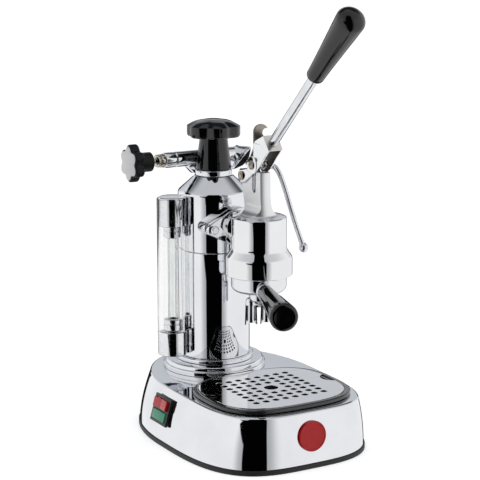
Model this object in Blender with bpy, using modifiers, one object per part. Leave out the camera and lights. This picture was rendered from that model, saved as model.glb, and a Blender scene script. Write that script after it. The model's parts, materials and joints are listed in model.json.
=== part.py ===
"""Lever espresso machine, one named object for each piece.

Metres, +Z up, the front faces -Y, +X is the right-hand side of someone who faces the machine.
Every piece is made in machine coordinates, with the boiler on x = 0, y = 0 and the table at z = 0.
At the end the whole machine moves so that the middle of its footprint is at the origin.
"""
import math

import bmesh
import bpy
from mathutils import Vector

MM = 0.001
DEG = math.pi / 180.0

# Shared by all pieces
GAP = 0.3 * MM  # what touching and running pieces keep between them
OVERRUN = 4.0 * MM  # how far a cutter reaches past what it cuts
MERGE = 0.01 * MM

# Facets round a full turn
BIG_POINTS = 28
MID_POINTS = 16
SMALL_POINTS = 10
TINY_POINTS = 6
FACETS_GRID_HOLE = 8
POINTS_PER_LOBE = 5
PLAN_POINTS = 40
SEAM_TURN = 0.06  # radians; keeps the facet edges of crossing round pieces apart

# Base: plan of the foot and of the deck, as reaches from the widest line
WIDEST_AHEAD = 60.0 * MM
FOOT_HALF_WIDTH = 98.0 * MM
FOOT_FRONT = 138.0 * MM
FOOT_REAR = 130.0 * MM
DECK_HALF_WIDTH = 84.5 * MM
DECK_FRONT = 134.0 * MM
DECK_REAR = 125.0 * MM
FOOT_FRONT_POWER = 3.3
FOOT_REAR_POWER = 2.2
DECK_FRONT_POWER = 4.0
DECK_REAR_POWER = 2.1
WALL_CURVE_POWER = 1.7
WALL_STEPS = 3
EDGE_STEPS = 2
DECK_HEIGHT = 58.0 * MM
DECK_EDGE_ROUND = 3.0 * MM
SHELL_WALL = 1.2 * MM
TRIM_HEIGHT = 5.2 * MM
TRIM_PROUD = 1.2 * MM
TRIM_WIDTH = 9.0 * MM
BOTTOM_PLATE_THICKNESS = 1.2 * MM
BOTTOM_PLATE_CLEARANCE = 0.8 * MM

# Power switch on the left wall, badge on the front wall, gland in the rear wall
SWITCH_AHEAD = 57.0 * MM
SWITCH_HEIGHT = 36.0 * MM
BEZEL_WIDTH = 34.0 * MM
BEZEL_TALL = 29.0 * MM
BEZEL_THICKNESS = 3.0 * MM
BEZEL_RIM = 3.0 * MM
SWITCH_BODY_DEPTH = 16.0 * MM
SWITCH_BODY_INSET = 3.0 * MM
ROCKER_PROUD = 3.0 * MM
ROCKER_DEPTH = 6.0 * MM
ROCKER_SIDE_GAP = 1.0 * MM
LAMP_PROUD = 1.2 * MM
SWITCH_BRIDGE = 1.6 * MM
BADGE_RADIUS = 15.5 * MM
BADGE_THICKNESS = 2.4 * MM
BADGE_RIM = 1.6 * MM
BADGE_RIM_RISE = 0.5 * MM
BADGE_HEIGHT = 33.5 * MM
GLAND_HEIGHT = 25.0 * MM
GLAND_RADIUS = 9.0 * MM
GLAND_NECK_RADIUS = 6.5 * MM
GLAND_BORE = 3.6 * MM
GLAND_PROUD = 6.0 * MM
GLAND_INSIDE = 9.0 * MM

# Drip tray and grid
TRAY_AHEAD = 119.0 * MM
GRID_HALF_WIDTH = 71.0 * MM
GRID_REACH = 60.5 * MM
TRAY_POWER = 2.95
REAR_RIM_SHARE = 0.45
GRID_THICKNESS = 1.2 * MM
GRID_TOP = 62.6 * MM
HOLE_PITCH_X = 11.4 * MM
HOLE_PITCH_Y = 10.72 * MM
HOLES_EACH_WAY = 8
HOLE_RADIUS = 3.5 * MM
MIDDLE_HOLE_RADIUS = 7.25 * MM
NOTCH_RADIUS = 13.0 * MM
NOTCH_OUTSIDE = 4.0 * MM
TRAY_RIM_OUT = 6.0 * MM
TRAY_RIM_ROUND = 1.8 * MM
TRAY_WALL = 1.6 * MM
TRAY_LEDGE = 3.5 * MM
TRAY_FLOOR = 40.0 * MM

# Boiler, turned about the z axis
BOILER_RADIUS = 38.3 * MM
BOILER_WALL = 1.8 * MM
FLANGE_RADIUS = 55.0 * MM
FLANGE_TOP = 67.9 * MM
FLANGE_STEP = 2.5 * MM
FLANGE_STEP_HEIGHT = 63.5 * MM
FLANGE_ROUND = 1.6 * MM
COLLAR_RADIUS = 42.0 * MM
COLLAR_TOP = 72.8 * MM
STEM_RADIUS = 35.0 * MM
STEM_BORE = 30.0 * MM
STEM_FOOT = 47.0 * MM
RING_NUT_RADIUS = 45.0 * MM
RING_NUT_FOOT = 50.0 * MM
BOILER_SEAM = 188.0 * MM
SEAM_LIP = 1.0 * MM
SHOULDER_FOOT = 250.0 * MM
SHOULDER_ROUND = 5.0 * MM
SHOULDER_TOP = 264.0 * MM
SHOULDER_TOP_RADIUS = 20.5 * MM
SHOULDER_DROP = 2.3 * MM
NECK_RADIUS = 14.5 * MM
NECK_BORE = 11.0 * MM
NECK_TOP = 276.0 * MM

# Heating element
ELEMENT_PLATE_THICKNESS = 2.0 * MM
ELEMENT_TUBE_RADIUS = 3.2 * MM
ELEMENT_COIL_RADIUS = 22.0 * MM
ELEMENT_COIL_HEIGHT = 100.0 * MM
ELEMENT_COIL_PITCH = 10.0 * MM
ELEMENT_COIL_TURNS = 2
ELEMENT_POINTS_PER_TURN = 10
ELEMENT_TAIL = 9.0 * MM

# Filler collar, cap and its knob
FILLER_COLLAR_RADIUS = 19.5 * MM
FILLER_COLLAR_ROUND = 1.2 * MM
CAP_FOOT = 271.0 * MM
CAP_FOOT_RADIUS = 19.0 * MM
CAP_WAIST_RADIUS = 14.6 * MM
CAP_WAIST_HEIGHT = 303.0 * MM
CAP_ROOF = 277.2 * MM
CAP_PLUG_RADIUS = 10.6 * MM
CAP_PLUG_FOOT = 266.0 * MM
CAP_GASKET_THICKNESS = 0.6 * MM
KNOB_RADIUS = 28.5 * MM
KNOB_LOBES = 6
KNOB_LOBE_DEPTH = 3.3 * MM
KNOB_FOOT = 304.0 * MM
KNOB_TOP = 326.5 * MM
KNOB_PHASE = -105.0  # degrees, where one lobe points
# From foot to top: share of the radius, of the lobes' depth and of the height
KNOB_LEVEL_SHARES = (
    (0.93, 1.0, 0.0),
    (1.0, 1.0, 0.09),
    (1.0, 1.0, 0.545),
    (0.98, 1.0, 0.57),
    (0.87, 0.9, 0.7),
    (0.71, 0.6, 0.825),
    (0.4, 0.2, 0.955),
    (0.14, 0.0, 1.0),
)

# Sight glass on the left of the boiler
SIGHT_OUT = 50.0 * MM
SIGHT_BLOCK_RADIUS = 15.0 * MM
SIGHT_BLOCK_ROUND = 1.5 * MM
SIGHT_TOP = 247.0 * MM
SIGHT_UPPER_FOOT = 216.5 * MM
SIGHT_LOWER_TOP = 103.0 * MM
SIGHT_FOOT = 77.0 * MM
SIGHT_UPPER_MIDDLE = (SIGHT_TOP + SIGHT_UPPER_FOOT) / 2.0
SIGHT_LOWER_MIDDLE = (SIGHT_LOWER_TOP + SIGHT_FOOT) / 2.0
SIGHT_TUBE_RADIUS = 5.2 * MM
SIGHT_TUBE_WALL = 1.1 * MM
SIGHT_TUBE_DEPTH = 9.0 * MM
SIGHT_NUT_RADIUS = 9.6 * MM
SIGHT_NUT_TALL = 13.0 * MM
SIGHT_SPIGOT_RADIUS = 5.0 * MM
SIGHT_SPIGOT_INSIDE = 2.5 * MM
SIGHT_SPIGOT_BORE = 2.6 * MM
SHIELD_THICKNESS = 1.1 * MM
SHIELD_OPENING = 47.0  # degrees either side of the boiler side
SHIELD_POINTS = 22

# Steam valve behind the cap, along x
VALVE_BACK = 27.8 * MM
VALVE_HEIGHT = 281.0 * MM
VALVE_LEFT = 45.5 * MM
VALVE_RIGHT = 44.0 * MM
VALVE_RADIUS = 8.2 * MM
VALVE_GROOVE_AT = 33.0 * MM
VALVE_GROOVE_WIDTH = 1.2 * MM
VALVE_GROOVE_DEPTH = 0.8 * MM
VALVE_BORE = 3.6 * MM
VALVE_BORE_DEPTH = 30.0 * MM
SADDLE_HALF_WIDTH = 17.5 * MM
SADDLE_WAIST_HEIGHT = 272.0 * MM
SADDLE_FOOT_HALF_WIDTH = 10.5 * MM
SADDLE_FOOT_HEIGHT = 264.6 * MM
SADDLE_THICKNESS = 11.0 * MM
VALVE_STUB_RADIUS = 5.0 * MM
VALVE_STUB_FOOT = 254.0 * MM
PACKING_RADIUS = 8.8 * MM
PACKING_LENGTH = 8.5 * MM
SPINDLE_RADIUS = 2.7 * MM
SPINDLE_INSIDE = 24.0 * MM
STEAM_HUB_START = 59.4 * MM
STEAM_HUB_RADIUS = 10.3 * MM
STEAM_HUB_ROUND = 2.0 * MM
STEAM_STAR_START = 78.0 * MM
STEAM_STAR_THICKNESS = 10.5 * MM
STEAM_STAR_RADIUS = 20.0 * MM
STEAM_STAR_LOBE = 2.6 * MM
STEAM_FACE_THICKNESS = 0.8 * MM
STEAM_FACE_INSET = 0.6 * MM
STEAM_KNOB_BORE_DEPTH = 14.0 * MM

# Wand nut and wand
WAND_DIRECTION = Vector((0.604, -0.504, -0.616)).normalized()
WAND_STUB_RADIUS = 6.0 * MM
WAND_STUB_LENGTH = 13.0 * MM
WAND_NUT_RADIUS = 12.3 * MM
WAND_NUT_MOUTH_RADIUS = 7.5 * MM
WAND_NUT_START = 6.5 * MM
WAND_NUT_END = 18.5 * MM
WAND_NUT_LIP = 2.0 * MM
WAND_RADIUS = 3.0 * MM
WAND_SEAT_RADIUS = 5.4 * MM
WAND_SEAT_THICKNESS = 1.8 * MM
WAND_STRAIGHT = 3.0 * MM
WAND_ROUTE = [
    (61.5 * MM, 4.0 * MM, 266.8 * MM),
    (66.4 * MM, -9.0 * MM, 271.0 * MM),
    (69.6 * MM, -17.0 * MM, 266.0 * MM),
    (72.7 * MM, -24.4 * MM, 251.0 * MM),
    (78.1 * MM, -37.8 * MM, 214.0 * MM),
    (82.6 * MM, -48.8 * MM, 187.0 * MM),
]
WAND_SPAN_POINTS = 3
TIP_RADIUS = 5.2 * MM
TIP_SKIRT = 4.0 * MM
TIP_OVERLAP = 5.0 * MM

# Safety valve on the back of the boiler
SAFETY_HEIGHT = 228.0 * MM
SAFETY_RADIUS = 7.5 * MM
SAFETY_HEX_RADIUS = 9.0 * MM
SAFETY_LENGTH = 20.0 * MM
SAFETY_HEX_THICKNESS = 6.0 * MM
SAFETY_STUB = 5.0 * MM
SAFETY_STUB_RADIUS = 4.5 * MM
SAFETY_WALL_ROUND = 1.5 * MM
SAFETY_TIP_SHARE = 0.5
SAFETY_SHOULDER_SHARE = 0.8

# Flange between boiler and group, and its bolts
PORT_HEIGHT = 219.0 * MM
PORT_BORE = 5.0 * MM
FLANGE_FACE = 46.0 * MM
BOILER_PLATE = 15.0 * MM
GROUP_PLATE = 7.0 * MM
GASKET_THICKNESS = 1.0 * MM
GROUP_FLANGE_BACK = FLANGE_FACE + GAP * 2.0 + GASKET_THICKNESS
GROUP_FLANGE_FRONT = GROUP_FLANGE_BACK + GROUP_PLATE
EAR_SPACING = 30.5 * MM
EAR_RADIUS = 7.5 * MM
DIAMOND_RADIUS = 18.5 * MM
DIAMOND_POINTS = 5
BOLT_RADIUS = 3.0 * MM
BOLT_HEAD_RADIUS = 4.6 * MM
BOLT_HEAD_LENGTH = 4.0 * MM
BOLT_HEAD_TOP_SHARE = 0.8
BOLT_HEAD_SIDE_SHARE = 0.75
BOLT_DEPTH = 11.0 * MM

# Group, turned about its own upright axis
GROUP_AHEAD = 94.0 * MM
CYLINDER_BORE = 24.5 * MM
CYLINDER_ROOF = 229.0 * MM
SEAT_BORE = 27.0 * MM
SEAT_TOP = 186.4 * MM
BELL_RADIUS = 28.2 * MM
BELL_SKIRT_RADIUS = 34.3 * MM
BELL_ROOF_WALL = 8.0 * MM
BELL_TOP = CYLINDER_ROOF + BELL_ROOF_WALL
BELL_FLARE_TOP = 204.5 * MM
BELL_FLARE_FOOT = 195.5 * MM
BELL_FOOT = 177.0 * MM
BELL_EDGE_ROUND = 2.0 * MM
BELL_FLARE_ROUND = 7.0 * MM
BELL_FOOT_ROUND = 1.3 * MM
INLET_RADIUS = 15.0 * MM

# Neck on the bell, with flats on both sides, a slot for the piston pin and a lug for the fork
NECK_FOOT_RISE = 2.0 * MM
GROUP_NECK_FOOT_RADIUS = 17.8 * MM
GROUP_NECK_FOOT = BELL_TOP + NECK_FOOT_RISE
NECK_WAIST_RISE = 19.0 * MM
GROUP_NECK_WAIST_RADIUS = 14.2 * MM
GROUP_NECK_WAIST = BELL_TOP + NECK_WAIST_RISE
NECK_TOP_RISE = 47.0 * MM
GROUP_NECK_TOP_RADIUS = 13.6 * MM
GROUP_NECK_TOP = BELL_TOP + NECK_TOP_RISE
GROUP_NECK_EDGE_ROUND = 1.2 * MM
GROUP_NECK_WAIST_ROUND = 60.0 * MM
GROUP_NECK_FOOT_ROUND = 3.0 * MM
FLAT_HALF_THICKNESS = 6.0 * MM
FLAT_FOOT_RISE = 14.2 * MM
FLAT_FOOT = BELL_TOP + FLAT_FOOT_RISE
FLAT_RUN_OUT_POINTS = 6
FLAT_REACH = 34.0 * MM
SLOT_HALF_WIDTH = 4.1 * MM
SLOT_FOOT_RISE = 16.0 * MM
SLOT_FOOT = BELL_TOP + SLOT_FOOT_RISE
LUG_RADIUS = 6.8 * MM
LUG_HALF_THICKNESS = 7.0 * MM
LUG_START_ANGLE = 80.0  # degrees from straight ahead, over the top
LUG_TURN_ANGLE = 160.0
LUG_POINTS = 6
ROD_RADIUS = 4.0 * MM
ROD_HEAD_RADIUS = 4.9 * MM
ROD_HEAD_START = 90.0  # degrees from level
ROD_HEAD_END = -60.0
ROD_HEAD_POINTS = 6
HEAD_ROOM_RISE = 21.0 * MM
ROD_HEAD_ROOM = BELL_TOP + HEAD_ROOM_RISE
GLAND_RING_RADIUS = 9.0 * MM
GLAND_RING_TALL = 7.0 * MM

# Piston
PISTON_CLEARANCE = 0.35 * MM
PISTON_ROOM = 4.2 * MM
PISTON_TOP = CYLINDER_ROOF - PISTON_ROOM
PISTON_TALL = 13.6 * MM
SEAL_TALL = 2.4 * MM
SEAL_DEPTH = 2.4 * MM
SEAL_EDGE = 2.6 * MM
ROD_FOOT_DEPTH = 8.0 * MM
PISTON_PIN_RADIUS = 2.8 * MM
PISTON_PIN_RISE = 53.4 * MM
PISTON_PIN_HEIGHT = BELL_TOP + PISTON_PIN_RISE
SCREEN_THICKNESS = 1.0 * MM
SCREEN_HOLE_RADIUS = 1.3 * MM
SCREEN_RINGS = ((9.0 * MM, 5), (18.0 * MM, 8))
GROUP_GASKET_TALL = 4.4 * MM
GROUP_GASKET_BORE = 23.0 * MM

# Lever fork: its points in side view are counted forward and up from its pivot
FORK_PIVOT_BEHIND = 20.9 * MM
FORK_PIVOT_AHEAD = GROUP_AHEAD - FORK_PIVOT_BEHIND
FORK_PIVOT_RISE = 39.7 * MM
FORK_PIVOT_HEIGHT = BELL_TOP + FORK_PIVOT_RISE
FORK_PIN_RADIUS = 3.0 * MM
FORK_EYE_RADIUS = 7.8 * MM
FORK_INSIDE = 6.4 * MM
FORK_SHEET = 2.0 * MM
FORK_FRONT_LOWER = (33.9 * MM, 12.3 * MM)
FORK_FRONT_UPPER = (42.7 * MM, 22.6 * MM)
FORK_FOLD_FOOT = (52.9 * MM, 32.5 * MM)
FORK_FOLD_TOP = (42.3 * MM, 46.1 * MM)
FORK_BACK_TOP = (25.7 * MM, 38.9 * MM)
FORK_BACK_EDGE = (10.0 * MM, 9.2 * MM)
EYE_START_ANGLE = 115.0  # degrees from straight ahead, over the top
EYE_TURN_ANGLE = 200.0
EYE_POINTS = 7
TAB_TOP = 57.5 * MM
TAB_FOOT = 27.3 * MM
TAB_SHOULDER = 50.3 * MM
TAB_ARC_POINTS = 8
TAB_NOTCH_RADIUS = 4.2 * MM
TAB_NOTCH_X = 6.0 * MM
TAB_NOTCH_HEIGHT = 48.7 * MM
PIN_SLOT_BACK = 4.6 * MM
PIN_SLOT_FRONT = 2.4 * MM
PIN_SLOT_HALF_WIDTH = 4.1 * MM
PIN_SLOT_POINTS = 6
PIN_OUT = 0.8 * MM
CLIP_RADIUS = 4.8 * MM
CLIP_THICKNESS = 0.8 * MM

# Lever rod and grip
LEVER_ANGLE = 44.0  # degrees above level
LEVER_ROD_RADIUS = 5.0 * MM
LEVER_SPIGOT_RADIUS = 3.4 * MM
LEVER_SPIGOT_LENGTH = 4.0 * MM
LEVER_ROD_LENGTH = 130.0 * MM
GRIP_START = 104.5 * MM
GRIP_END = 197.0 * MM
GRIP_SMALL_RADIUS = 8.7 * MM
GRIP_LARGE_RADIUS = 14.2 * MM
GRIP_DOME = 11.0 * MM
GRIP_MOUTH_ROUND = 1.5 * MM
GRIP_DOME_POINTS = 5
GRIP_TAPER_SHARES = (0.75, 0.5, 0.25)
GRIP_TAPER_POWER = 1.15

# Portafilter
PORTAFILTER_TURN = 20.6  # degrees from straight ahead towards the left
PF_RADIUS = 28.4 * MM
PF_RIM_RADIUS = 26.6 * MM
PF_RIM_TOP = 179.0 * MM
PF_TOP = 176.6 * MM
PF_TOP_ROUND = 0.9 * MM
PF_FOOT = 160.0 * MM
PF_FOOT_ROUND = 6.0 * MM
PF_BORE = 25.7 * MM
PF_FLOOR = 162.5 * MM
PF_FLOOR_ROUND = 4.2 * MM
PF_BOSS_RADIUS = 6.0 * MM
PF_BOSS_FOOT = 151.5 * MM
PF_OUTLET = 2.6 * MM
PF_HANDLE_HEIGHT = 165.9 * MM
PF_SOCKET_RADIUS = 5.8 * MM
PF_SOCKET_END = 31.0 * MM
PF_STUD_RADIUS = 3.5 * MM
PF_STUD_END = 58.0 * MM
BASKET_WALL = 0.6 * MM
BASKET_FLOOR = 164.5 * MM
BASKET_CORNER_WIDE = 3.0 * MM
BASKET_CORNER_TALL = 3.6 * MM
BASKET_HOLES = 6
BASKET_HOLE_RING = 9.0 * MM
BASKET_RIM_THICKNESS = 0.7 * MM
FERRULE_RADIUS = 8.6 * MM
FERRULE_END = 36.0 * MM
FERRULE_ROUND = 1.2 * MM
HANDLE_START_RADIUS = 8.4 * MM
HANDLE_END_RADIUS = 13.9 * MM
HANDLE_END = 137.0 * MM
HANDLE_EDGE_ROUND = 4.0 * MM

# Spout: a cross bar with two open troughs
SPOUT_HALF_SPACING = 8.0 * MM
SPOUT_RADIUS = 5.8 * MM
SPOUT_FOOT_RADIUS = 6.5 * MM
SPOUT_WALL = 1.0 * MM
SPOUT_BAR_HEIGHT = 147.0 * MM
SPOUT_BAR_RADIUS = 5.2 * MM
SPOUT_ARCH_RADIUS = 4.2 * MM
SPOUT_ARCH_RISE = 4.4 * MM
SPOUT_ARCH_TOP = 6.2 * MM
SPOUT_MOUTH_DROP = 2.0 * MM
SPOUT_FOOT = 124.0 * MM
SPOUT_COLLAR_RADIUS = 9.7 * MM
SPOUT_COLLAR_FOOT_RADIUS = 5.4 * MM
SPOUT_COLLAR_FOOT = 150.2 * MM
SPOUT_COLLAR_TOP = 159.7 * MM
SPOUT_PASSAGE = 2.3 * MM
SPOUT_OPEN_SHARE = 0.15
SPOUT_MOUTH_SHARE = 0.98

# Turns that point local z forwards, backwards, right and left
FORWARD_TURN = (math.pi / 2.0, 0.0, 0.0)
BACKWARD_TURN = (-math.pi / 2.0, 0.0, 0.0)
RIGHT_TURN = (0.0, math.pi / 2.0, 0.0)
LEFT_TURN = (0.0, -math.pi / 2.0, 0.0)

# Turn for a side view: local x to machine y, local y to z, local z to x
SIDE_TURN = (math.pi / 2.0, 0.0, math.pi / 2.0)

parts = bpy.data.collections.new("lever_espresso_machine")
cutters = bpy.data.collections.new("cutters")

# Finishes: colour, metallic, roughness
FINISHES = {
    "chrome": ((0.78, 0.79, 0.80), 1.0, 0.08),
    "steel": ((0.62, 0.61, 0.59), 1.0, 0.25),
    "brass": ((0.72, 0.55, 0.28), 1.0, 0.3),
    "black_plastic": ((0.012, 0.012, 0.013), 0.0, 0.2),
    "grey_plastic": ((0.08, 0.08, 0.085), 0.0, 0.35),
    "pale_grey": ((0.62, 0.62, 0.63), 0.0, 0.4),
    "rubber": ((0.02, 0.02, 0.02), 0.0, 0.7),
    "red": ((0.55, 0.015, 0.02), 0.0, 0.25),
    "green": ((0.02, 0.33, 0.2), 0.0, 0.25),
    "clear": ((0.85, 0.9, 0.9), 0.0, 0.05),
    "white_seal": ((0.7, 0.68, 0.62), 0.0, 0.5),
}


def clear_scene():
    """Remove what the file holds and add the two collections."""
    for item in list(bpy.data.objects):
        bpy.data.objects.remove(item, do_unlink=True)
    bpy.context.scene.collection.children.link(parts)
    bpy.context.scene.collection.children.link(cutters)


def finish(piece, name):
    """Give a piece its own material."""
    colour, metallic, roughness = FINISHES[name]
    material = bpy.data.materials.new(piece.name + "_" + name)
    material.use_nodes = True
    shader = material.node_tree.nodes["Principled BSDF"]
    shader.inputs["Base Color"].default_value = (*colour, 1.0)
    shader.inputs["Metallic"].default_value = metallic
    shader.inputs["Roughness"].default_value = roughness
    piece.data.materials.append(material)
    return piece


def add(name, data, place=(0.0, 0.0, 0.0), turn=(0.0, 0.0, 0.0)):
    """Link an object for a mesh or curve and stand it in the machine."""
    piece = bpy.data.objects.new(name, data)
    parts.objects.link(piece)
    piece.location = place
    piece.rotation_euler = turn
    piece.parent = machine
    return piece


def as_cutter(piece):
    """Take a helper solid out of the parts."""
    parts.objects.unlink(piece)
    cutters.objects.link(piece)
    piece.hide_render = True
    piece.display_type = "WIRE"


def combine(piece, tool, operation):
    """Cut a piece with a tool, or join the tool to it."""
    step = piece.modifiers.new(tool.name, "BOOLEAN")
    step.solver = "EXACT"
    step.operation = operation
    step.object = tool
    as_cutter(tool)
    return piece


def cut(piece, tool):
    """Cut the tool's shape out of a piece."""
    return combine(piece, tool, "DIFFERENCE")


def join(piece, tool):
    """Join the tool's shape to a piece."""
    return combine(piece, tool, "UNION")


def facing(direction):
    """Turn that points local z along a direction."""
    return Vector((0.0, 0.0, 1.0)).rotation_difference(Vector(direction)).to_euler()


def round_corners(corners, steps=2, closed=True):
    """Replace each corner that carries a radius by an arc of short steps."""
    points = []
    count = len(corners)
    for index, corner in enumerate(corners):
        here = Vector(corner[:2])
        radius = corner[2] if len(corner) > 2 else 0.0
        at_end = not closed and index in (0, count - 1)
        if radius == 0.0 or at_end:
            points.append((here.x, here.y))
            continue
        before = (Vector(corners[index - 1][:2]) - here).normalized()
        after = (Vector(corners[(index + 1) % count][:2]) - here).normalized()
        half = before.angle(after) / 2.0
        setback = radius / math.tan(half)
        middle = here + (before + after).normalized() * (radius / math.sin(half))
        start = here + before * setback - middle
        end = here + after * setback - middle
        sweep = start.angle_signed(end)
        for step in range(steps + 1):
            point = start.copy()
            angle = -sweep * step / steps
            turned_x = point.x * math.cos(angle) - point.y * math.sin(angle)
            turned_y = point.x * math.sin(angle) + point.y * math.cos(angle)
            points.append((middle.x + turned_x, middle.y + turned_y))
    return points


def turned(name, profile, facets, closed=False, place=(0.0, 0.0, 0.0), turn=(0.0, 0.0, 0.0)):
    """Turn a profile of (radius, height) about local z; it runs down the outer side."""
    mesh = bpy.data.meshes.new(name)
    edges = [(index, index + 1) for index in range(len(profile) - 1)]
    if closed:
        edges.append((len(profile) - 1, 0))
    across, along = math.cos(SEAM_TURN), math.sin(SEAM_TURN)
    mesh.from_pydata([(radius * across, radius * along, height) for radius, height in profile], edges, [])
    piece = add(name, mesh, place, turn)
    screw = piece.modifiers.new("turn", "SCREW")
    screw.steps = facets
    screw.render_steps = facets
    screw.use_merge_vertices = True
    screw.merge_threshold = MERGE
    screw.use_smooth_shade = True
    return piece


def rod(name, radius, low, high, facets, place=(0.0, 0.0, 0.0), turn=(0.0, 0.0, 0.0)):
    """Plain turned cylinder between two heights on local z."""
    profile = [(0.0, high), (radius, high), (radius, low), (0.0, low)]
    return turned(name, profile, facets, False, place, turn)


def box(name, low, high, place=(0.0, 0.0, 0.0), turn=(0.0, 0.0, 0.0)):
    """Box between two corners given in its own frame."""
    mesh = bpy.data.meshes.new(name)
    shape = bmesh.new()
    bmesh.ops.create_cube(shape, size=1.0)
    size = Vector(high) - Vector(low)
    middle = (Vector(high) + Vector(low)) / 2.0
    bmesh.ops.scale(shape, vec=size, verts=shape.verts)
    bmesh.ops.translate(shape, vec=middle, verts=shape.verts)
    shape.to_mesh(mesh)
    shape.free()
    return add(name, mesh, place, turn)


def soften(piece, width, segments=2):
    """Round a piece's edges."""
    bevel = piece.modifiers.new("edges", "BEVEL")
    bevel.width = width
    bevel.segments = segments
    bevel.limit_method = "ANGLE"
    bevel.angle_limit = 40.0 * DEG
    return piece


def to_mesh(curve_piece):
    """Turn a curve object into a welded mesh object of the same name and place."""
    name = curve_piece.name
    view = bpy.context.evaluated_depsgraph_get()
    mesh = bpy.data.meshes.new_from_object(curve_piece.evaluated_get(view))
    shape = bmesh.new()
    shape.from_mesh(mesh)
    bmesh.ops.remove_doubles(shape, verts=shape.verts, dist=MERGE)
    bmesh.ops.recalc_face_normals(shape, faces=shape.faces)
    shape.to_mesh(mesh)
    shape.free()
    place = curve_piece.location.copy()
    turn = curve_piece.rotation_euler.copy()
    bpy.data.objects.remove(curve_piece, do_unlink=True)
    piece = add(name, mesh, place, turn)
    mesh.name = name
    return piece


def sheet(name, outlines, low, high, place=(0.0, 0.0, 0.0), turn=(0.0, 0.0, 0.0)):
    """Flat outline, with any holes, drawn in local x and y and extruded between two heights."""
    curve = bpy.data.curves.new(name, "CURVE")
    curve.dimensions = "2D"
    curve.fill_mode = "BOTH"
    curve.extrude = (high - low) / 2.0
    for outline in outlines:
        spline = curve.splines.new("POLY")
        spline.points.add(len(outline) - 1)
        for point, (x, y) in zip(spline.points, outline):
            point.co = (x, y, 0.0, 1.0)
        spline.use_cyclic_u = True
    piece = to_mesh(add(name, curve, place, turn))
    middle = (high + low) / 2.0
    for vertex in piece.data.vertices:
        vertex.co.z += middle
    return piece


def tube(name, route, radius, resolution=2):
    """Round bar along a route of points, with its ends closed."""
    curve = bpy.data.curves.new(name, "CURVE")
    curve.dimensions = "3D"
    curve.bevel_depth = radius
    curve.bevel_resolution = resolution
    curve.use_fill_caps = True
    spline = curve.splines.new("POLY")
    spline.points.add(len(route) - 1)
    for point, place in zip(spline.points, route):
        point.co = (*place, 1.0)
    return to_mesh(add(name, curve))


def smooth_route(route, steps):
    """Even curve through the route's points."""
    ends = [route[0] * 2.0 - route[1]] + list(route) + [route[-1] * 2.0 - route[-2]]
    points = []
    for index in range(1, len(ends) - 2):
        a, b, c, d = ends[index - 1:index + 3]
        for step in range(steps):
            t = step / steps
            bend = (a * 2.0 - b * 5.0 + c * 4.0 - d) * t * t
            twist = (b * 3.0 - a - c * 3.0 + d) * t * t * t
            points.append((b * 2.0 + (c - a) * t + bend + twist) / 2.0)
    points.append(route[-1])
    return points


def turned_arc(radius, first, last, steps, height=0.0):
    """Part of a ball's profile between two angles above level, in degrees."""
    points = []
    for index in range(steps + 1):
        angle = (first + (last - first) * index / steps) * DEG
        points.append((max(0.0, radius * math.cos(angle)), height + radius * math.sin(angle)))
    if abs(first) == 90.0:
        points[0] = (0.0, points[0][1])
    return points


def circle(x, y, radius, count, start=0.0):
    """Points round a circle."""
    turns = [start + 2.0 * math.pi * index / count for index in range(count)]
    return [(x + radius * math.cos(angle), y + radius * math.sin(angle)) for angle in turns]


def loft(name, rings, cap_first=True, cap_last=True):
    """Skin between rings that have the same number of points, anticlockwise seen from above, rising."""
    shape = bmesh.new()
    rows = [[shape.verts.new(point) for point in ring] for ring in rings]
    count = len(rings[0])
    for lower, upper in zip(rows, rows[1:]):
        for index in range(count):
            after = (index + 1) % count
            shape.faces.new((lower[index], lower[after], upper[after], upper[index]))
    if cap_first:
        shape.faces.new(list(reversed(rows[0])))
    if cap_last:
        shape.faces.new(rows[-1])
    mesh = bpy.data.meshes.new(name)
    shape.to_mesh(mesh)
    shape.free()
    return add(name, mesh)


def smooth(piece, sharp=35.0):
    """Shade a piece smooth apart from its sharp edges."""
    piece.data.shade_smooth()
    piece.data.set_sharp_from_angle(angle=sharp * DEG)
    return piece


def plan(half_width, front, rear, front_power, rear_power, middle_y):
    """Plan outline made of two half superellipses that share the widest line."""
    points = []
    for index in range(PLAN_POINTS):
        angle = 2.0 * math.pi * index / PLAN_POINTS
        across, along = math.cos(angle), math.sin(angle)
        reach, power = (front, front_power) if along < 0.0 else (rear, rear_power)
        x = half_width * math.copysign(abs(across) ** (2.0 / power), across)
        y = middle_y + reach * math.copysign(abs(along) ** (2.0 / power), along)
        points.append((x, y))
    return points


def wall_sizes(height):
    """Half width, reaches and powers of the base wall at a height."""
    share = ((height - SHELL_FOOT) / (DECK_HEIGHT - SHELL_FOOT)) ** WALL_CURVE_POWER
    pairs = (
        (FOOT_HALF_WIDTH, DECK_HALF_WIDTH),
        (FOOT_FRONT, DECK_FRONT),
        (FOOT_REAR, DECK_REAR),
        (FOOT_FRONT_POWER, DECK_FRONT_POWER),
        (FOOT_REAR_POWER, DECK_REAR_POWER),
    )
    return [foot + (deck - foot) * share for foot, deck in pairs]


def wall_ring(height, inset, rise=0.0):
    """Ring of the base wall at a height, drawn in by an inset and lifted by a rise."""
    half_width, front, rear, front_power, rear_power = wall_sizes(height)
    outline = plan(half_width - inset, front - inset, rear - inset, front_power, rear_power, -WIDEST_AHEAD)
    return [(x, y, height + rise) for x, y in outline]


def wall_lean(height, index):
    """Lean of the wall at a height, in radians; index 0 is the side, 1 the front, 2 the rear."""
    step = SHELL_WALL
    inward = wall_sizes(height - step)[index] - wall_sizes(height + step)[index]
    return math.atan2(inward, 2.0 * step)


# Sizes that follow from the ones above
SHELL_FOOT = TRIM_HEIGHT + GAP
GROUP_Y = -GROUP_AHEAD
FORK_PIVOT_Y = -FORK_PIVOT_AHEAD


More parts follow.
